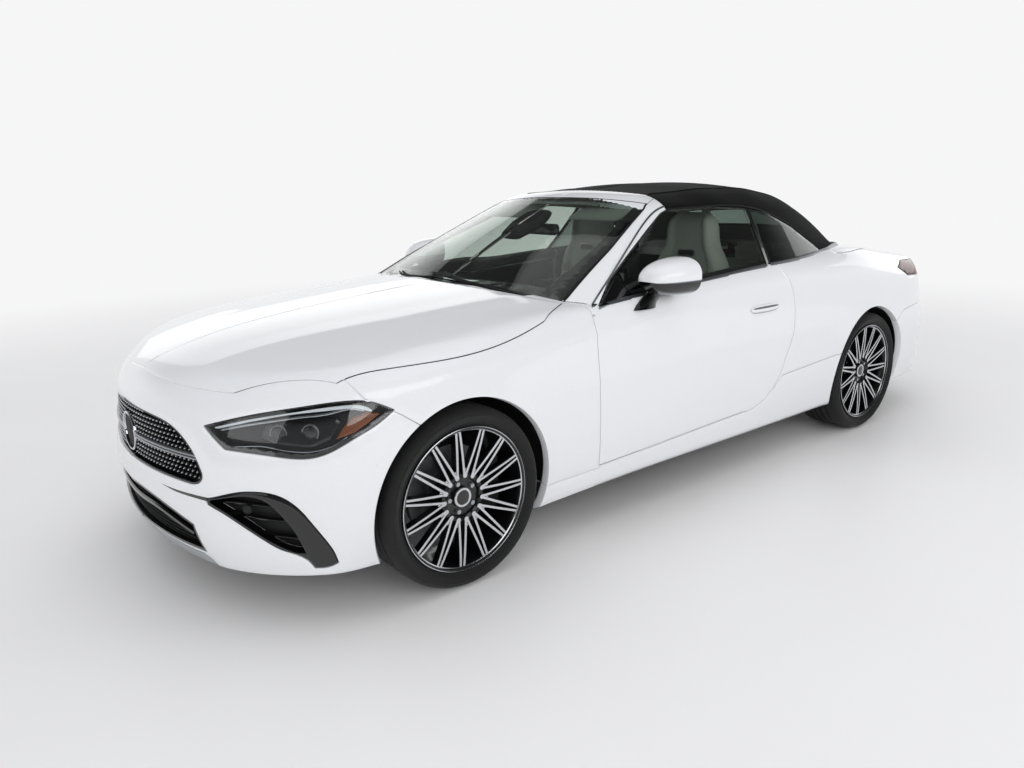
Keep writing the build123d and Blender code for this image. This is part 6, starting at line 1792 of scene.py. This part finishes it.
piece("carpets", [outward(slab(mat, (0, y, CARPET_TOP), (1, 0, 0), (0, 1, 0), 9, 3)) for y in (-410, 410)
                  for mat in mats], tufted_carpet)

# ---- what hangs behind the windscreen
POD_ROWS = ((362, 1300, UP, 66, 16), (410, 1278, UP, 92, 28), (500, 1236, UP, 94, 30), (590, 1190, UP, 72, 18))
MIRROR_ROWS = ((392, 1178, 0.0, 112, 18), (392, 1190, 0.0, 122, 20), (394, 1216, 0.0, 122, 20),
               (396, 1234, 0.0, 108, 16))
VISOR_ROWS = ((200, 1316, UP, 165, 8), (250, 1302, UP, 172, 9), (330, 1272, UP, 172, 9),
              (356, 1262, UP, 160, 7))
piece("sensor_pod", [shifted(pad(POD_ROWS, count=64, power=3.0), z=-14)], foam_skin, smooth=60)
piece("pod_lens", [dome((530.0, 26.0, 1222.0), (0.62, 0, 0.78), 22, 7)], gloss_black_abs, smooth=60)
stem = sweep(curve(((402, 0, 1225), (420, 0, 1250), (440, 0, 1262))), round_points(12, 9), up=(0, 1, 0))
piece("inner_mirror", [shifted(pad(MIRROR_ROWS, count=72, power=3.0), x=-8), stem], gloss_black_abs, smooth=60)
piece("inner_mirror_face", [plate_facing(rounded(226, 52, 22), (362, 0, 1206), (-1, 0, 0.05), 2.5)],
      mirror_glass)
piece("sun_visors", [shifted(pad(VISOR_ROWS, count=60, power=5), y=y, z=-6) for y in (330, -330)], headlining,
      smooth=60)

# ---- wheel arches and seals
LINER_REACH = 420
LINER_SECTION = ((-472, 0), (-872, 0), (-886, -14), (-890, -38), (-886, -38), (-882, -18), (-868, -4),
                 (-476, -4), (-476, -230), (-472, -230))
liner_turn = np.radians(np.linspace(-8, 188, 80))
liner_out = np.column_stack((np.cos(liner_turn), np.zeros(80), np.sin(liner_turn)))
piece("arch_liners", both(*(outward(sweep(liner_out * LINER_REACH + (axle_x, 0, WHEEL_Z), LINER_SECTION,
                                          up=liner_out))
                            for axle_x in (FRONT_AXLE_X, REAR_AXLE_X))), underfloor_sealer)

seal_parts = []
for line in (door_line, bumper_line, rear_line, bonnet_line, lid_line[lid_line[:, 0] > -2290],
             sill_line[(sill_line[:, 0] < 866) & (sill_line[:, 0] > -925)]):
    for part in stretches(line):
        from_axle = np.min([np.hypot(part[:, 0] - axle_x, part[:, 2] - WHEEL_Z)
                            for axle_x in (FRONT_AXLE_X, REAR_AXLE_X)], axis=0)
        part = part[(from_axle > ARCH_LIP + 3) | (part[:, 1] < 700)]
        if len(part) > 4:
            seal_parts += both(bar_on(side_chart, part, 12.0, ((-1.7, -2), (1.7, -2), (1.7, 2), (-1.7, 2))))
piece("seam_seals", seal_parts, seal_rubber)

# ---- tail lamps
TAIL_GUIDES = (((-1800, 838, 888), (-1900, 815, 905), (-2060, 770, 900), (-2220, 700, 893), (-2300, 655, 888)),
               ((-1850, 850, 864), (-1960, 832, 862), (-2100, 780, 856), (-2240, 705, 846), (-2310, 658, 838)))
LID_GUIDES = (((-2322, 628, 884), (-2370, 570, 880), (-2396, 500, 874)),
              ((-2330, 628, 838), (-2384, 570, 836), (-2410, 500, 832)))
for label, sheet, keep, home, node, guides in (
        ("body", tail_sheet, tail_lamp_cap & ~tail_lid, "body", "tail_lamps", TAIL_GUIDES),
        ("lid", lid_sheet, lid_lamp & on_lid, "boot_lid", None, LID_GUIDES)):
    panel(f"tail_lamp_lenses_{label}", sheet, keep, node, home, red_lens, gap=2.0, lip=1.6, depth=4)
    panel(f"tail_lamp_floors_{label}", lower_sheet(sheet, 24), keep, None, home, red_reflector, gap=2.5,
          lip=0.6, depth=3)
    piece(f"tail_lamp_guides_{label}", both(*(tube_on(sheet.chart, points, 6.0, 13) for points in guides)),
          red_guide_painted_glow, home)

# ---- lower tail: skirt, outlets and the bare plate recess
OUTLET = ((395, 352), (560, 340), (600, 326, 612, 290), (606, 262), (585, 247), (420, 258), (392, 275),
          (395, 352))
REFLECTOR = ((560, 470), (690, 484), (706, 470), (690, 455), (560, 442), (548, 456), (560, 470))
FLAP_MIDDLE, FLAP_HALF = (-1560, 842), (84, 62)
panel("rear_skirt", tail_sheet, tail_diffuser, material=grained_black_pp, gap=1.0, across=True)
fins = []
for y in (150, 290):
    line = body.lift("back", np.column_stack((np.full(16, float(y)), np.linspace(372, 222, 16))))
    fins += both(bar_on(tail_chart, line, 1.0, ((-3, 0), (3, 0), (2, 26), (-2, 26)),
                        np.clip(np.linspace(0.35, 1.3, 16), 0, 1)))
piece("skirt_fins", fins, gloss_black_abs)
outlet_line = body.lift("back", trace(OUTLET, 8))
piece("outlet_trims", both(strip_on(tail_chart, outlet_line,
                                    ((0, 4), (0, -4), (3, -7), (9, -7), (13, -2), (13, 10),
                                                              (0, 10)))), chromed_abs, smooth=50)
piece("outlet_floors", both(patch(tail_chart, outlet_line, 4, 4)), grained_black_pp)
recess = panel_shape(lower_sheet(tail_sheet, 16), tail_plate, gap=0.2, lip=0.4, depth=3, across=True)
recess_wall = strip_on(tail_chart, whole(plate_line), ((0.6, 1.2), (2.2, 0.4), (3.4, 1.2), (5, 19), (0.6, 19)),
                       closed=False)
piece("plate_recess", [recess, recess_wall], white_enamel)
piece("plate_carrier", [outward(slab(rounded(524, 114, 8), (-2404, 0, 576), (0, -1, 0), (0.02, 0, 1), 6, 2))],
      grained_black_pp)
piece("plate_lamps", [outward(slab(rounded(60, 16, 5), (-2398, y, 633), (0, -1, 0), (0.02, 0, 1), 10, 3))
                      for y in (150, -150)], clear_lens)
piece("rear_reflectors", both(patch(tail_chart, body.lift("back", trace(REFLECTOR, 10)), -1.2, 5, 1.2)),
      red_reflector)
slit_line = body.lift("side", curve(((-2128, 470), (-2140, 540), (-2158, 606))))
piece("side_slits", both(bar_on(tail_chart, slit_line, -0.4, bar_section(12, 3, 0.4, base=-2))),
      gloss_black_abs)
high_line = body.lift("back", np.column_stack((np.linspace(0, 160, 20), np.full(20, 936.0))))
piece("high_brake_light", [bar_on(lid_chart, whole(high_line[::-1]), -0.2,
                                  bar_section(11, 4, 0.35, base=-2.5))],
      red_reflector, "boot_lid")
spots, spots_out = tail_chart.under(body.lift("back", np.array(((330.0, 480.0), (620.0, 530.0)))), 0.6)
piece("rear_sensors", both(*(dome(spot, out, 9.5, 1.4) for spot, out in zip(spots, spots_out))), inner_enamel,
      smooth=60)
flap_line = body.lift("side", round_points(90, endpoint=True) * FLAP_HALF + FLAP_MIDDLE)
flap_seam = strip_on(side_chart, flap_line, ((0, -0.15), (1.6, -0.15), (1.6, 1.0), (0, 1.0)))
piece("filler_flap_seam", [other_side(flap_seam)], seal_rubber)

# ---- every solid part that still shows gets its finish
NODE_FINISHES = {
    "underbody": underfloor_sealer, "engine_block": sand_cast, "front_subframe": chassis_iron,
    "rear_axle": chassis_iron, "cowl": grained_black_pp, "dashboard": foam_skin, "console": foam_skin,
    "front_seats": pale_leather, "rear_bench": pale_leather, "steering_wheel": black_leather,
    "knuckle_left": chassis_iron, "knuckle_right": chassis_iron, "mirror_left": white_enamel,
    "mirror_right": white_enamel}
for node_name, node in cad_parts.items():
    wheel_finish = black_alloy if node_name.startswith("rim") else tyre_rubber
    node.data.materials.clear()
    node.data.materials.append(NODE_FINISHES.get(node_name, wheel_finish))


# ---- floor, light and camera
def pale_floor(tree):
    """Matt floor that keeps the car's shadow, and goes to the backdrop's white far from the car."""
    place = add(tree, "ShaderNodeTexCoord").outputs["Object"]
    noise = add(tree, "ShaderNodeTexNoise", links={"Vector": place}, Scale=1.5, Detail=3.0)
    tint = add(tree, "ShaderNodeMix", {"data_type": "RGBA"}, {"Factor": noise}, _6=linear("F1EFEE"),
               _7=linear("F4F3F2"))
    near = add(tree, "ShaderNodeBsdfPrincipled", links={"Base Color": tint.outputs[2]}, Roughness=0.42,
               Specular_IOR_Level=0.3)
    reach = add(tree, "ShaderNodeVectorMath", {"operation": "LENGTH"}, {0: place}).outputs["Value"]
    far_off = add(tree, "ShaderNodeMapRange", {"interpolation_type": "SMOOTHSTEP"}, {"Value": reach},
                  From_Min=3.5, From_Max=9.0)
    backdrop = add(tree, "ShaderNodeEmission", Color=linear("F6F6F7"), Strength=1.0)
    return add(tree, "ShaderNodeMixShader", links={0: far_off, 1: near, 2: backdrop})


FLOOR_HALF = 40000.0
corners = [(x * FLOOR_HALF, y * FLOOR_HALF, 0) for x, y in ((-1, -1), (1, -1), (1, 1), (-1, 1))]
floor = put("studio_floor", corners, [(0, 1, 2, 3)], finish("pale_floor", pale_floor), 0)

world = bpy.data.worlds.new("studio")
world.use_nodes = True
bpy.context.scene.world = world
sky = world.node_tree
sky.nodes.clear()
seen = add(sky, "ShaderNodeLightPath").outputs
in_glass = add(sky, "ShaderNodeMath", {"operation": "MAXIMUM"},
               {0: seen["Is Glossy Ray"], 1: seen["Is Transmission Ray"]})
way = add(sky, "ShaderNodeTexCoord").outputs["Generated"]
height = add(sky, "ShaderNodeSeparateXYZ", links={0: way}).outputs["Z"]
fade = add(sky, "ShaderNodeMapRange", links={"Value": height}, From_Min=0.0, From_Max=0.7, To_Min=1.12,
           To_Max=0.86)
# The pale wall stands on the car's right and behind it. Glass and gloss on the other sides show the dim hall.
towards_wall = add(sky, "ShaderNodeVectorMath", {"operation": "DOT_PRODUCT"}, {0: way},
                   _1=(-0.62, -0.78, 0.0)).outputs["Value"]
smooth = {"interpolation_type": "SMOOTHSTEP"}
wall_top = add(sky, "ShaderNodeMapRange", smooth, {"Value": height}, From_Min=0.24, From_Max=0.48, To_Min=1.0,
               To_Max=0.07)
wall_side = add(sky, "ShaderNodeMapRange", smooth, {"Value": towards_wall}, From_Min=-0.3, From_Max=0.5,
                To_Min=0.2, To_Max=1.0)
in_gloss = add(sky, "ShaderNodeMath", {"operation": "MULTIPLY"}, {0: wall_top, 1: wall_side})
light = add(sky, "ShaderNodeBackground", links={"Strength": fade}, Color=linear("EDEFF2"))
mirrored = add(sky, "ShaderNodeBackground", links={"Strength": in_gloss}, Color=linear("F6F6F7"))
white = add(sky, "ShaderNodeBackground", Color=linear("F6F6F7"), Strength=1.0)
lit = add(sky, "ShaderNodeMixShader", links={0: in_glass, 1: light, 2: mirrored})
all_rays = add(sky, "ShaderNodeMixShader", links={0: seen["Is Camera Ray"], 1: lit, 2: white})
add(sky, "ShaderNodeOutputWorld", links={"Surface": all_rays})

SOFT_BOXES = (
    # name, place and what it looks at in metres, width, length, watts
    ("overhead", (0.3, 0.0, 5.2), (0.3, 0.0, 0.0), 3.0, 7.0, 26.0),
    ("left_window", (1.5, 6.5, 3.2), (0.2, 0.0, 0.6), 7.0, 2.6, 95.0),
    ("front_window", (7.5, 1.0, 2.6), (1.5, 0.0, 0.6), 3.5, 2.2, 20.0),
    ("right_window", (-1.0, -6.5, 3.2), (0.0, 0.0, 0.6), 7.0, 2.6, 30.0),
    ("rear_window_light", (-7.5, 0.5, 2.8), (-1.5, 0.0, 0.6), 3.5, 2.2, 20.0))
for name, place, target, width, length, watts in SOFT_BOXES:
    lamp = bpy.data.lights.new(name, "AREA")
    lamp.shape, lamp.size, lamp.size_y, lamp.energy = "RECTANGLE", width, length, watts
    box = bpy.data.objects.new(name, lamp)
    box.location = place
    box.rotation_euler = (Vector(target) - Vector(place)).to_track_quat("-Z", "Y").to_euler()
    bpy.context.scene.collection.objects.link(box)

CAMERA_PLACE = Vector((3.07979, 3.0476, 1.44487))
CAMERA_YAW, CAMERA_PITCH, CAMERA_ROLL = 4.02713, -0.252335, -0.0164594     # radians
FOCAL_LENGTH = 27.7218                                                       # on a 36 mm wide frame
ahead = Vector((math.cos(CAMERA_YAW) * math.cos(CAMERA_PITCH), math.sin(CAMERA_YAW) * math.cos(CAMERA_PITCH),
                math.sin(CAMERA_PITCH)))
right = ahead.cross(Vector((0, 0, 1))).normalized()
over = right.cross(ahead)
rolled_right = right * math.cos(CAMERA_ROLL) + over * math.sin(CAMERA_ROLL)
rolled_over = over * math.cos(CAMERA_ROLL) - right * math.sin(CAMERA_ROLL)
lens = bpy.data.cameras.new("studio_camera")
lens.sensor_fit, lens.sensor_width, lens.lens = "HORIZONTAL", 36.0, FOCAL_LENGTH
camera = bpy.data.objects.new("studio_camera", lens)
camera.matrix_world = Matrix([(rolled_right[i], rolled_over[i], -ahead[i], CAMERA_PLACE[i]) for i in range(3)]
                             + [(0, 0, 0, 1)])
bpy.context.scene.collection.objects.link(camera)
bpy.context.scene.camera = camera
bpy.context.scene.view_settings.view_transform = "Standard"
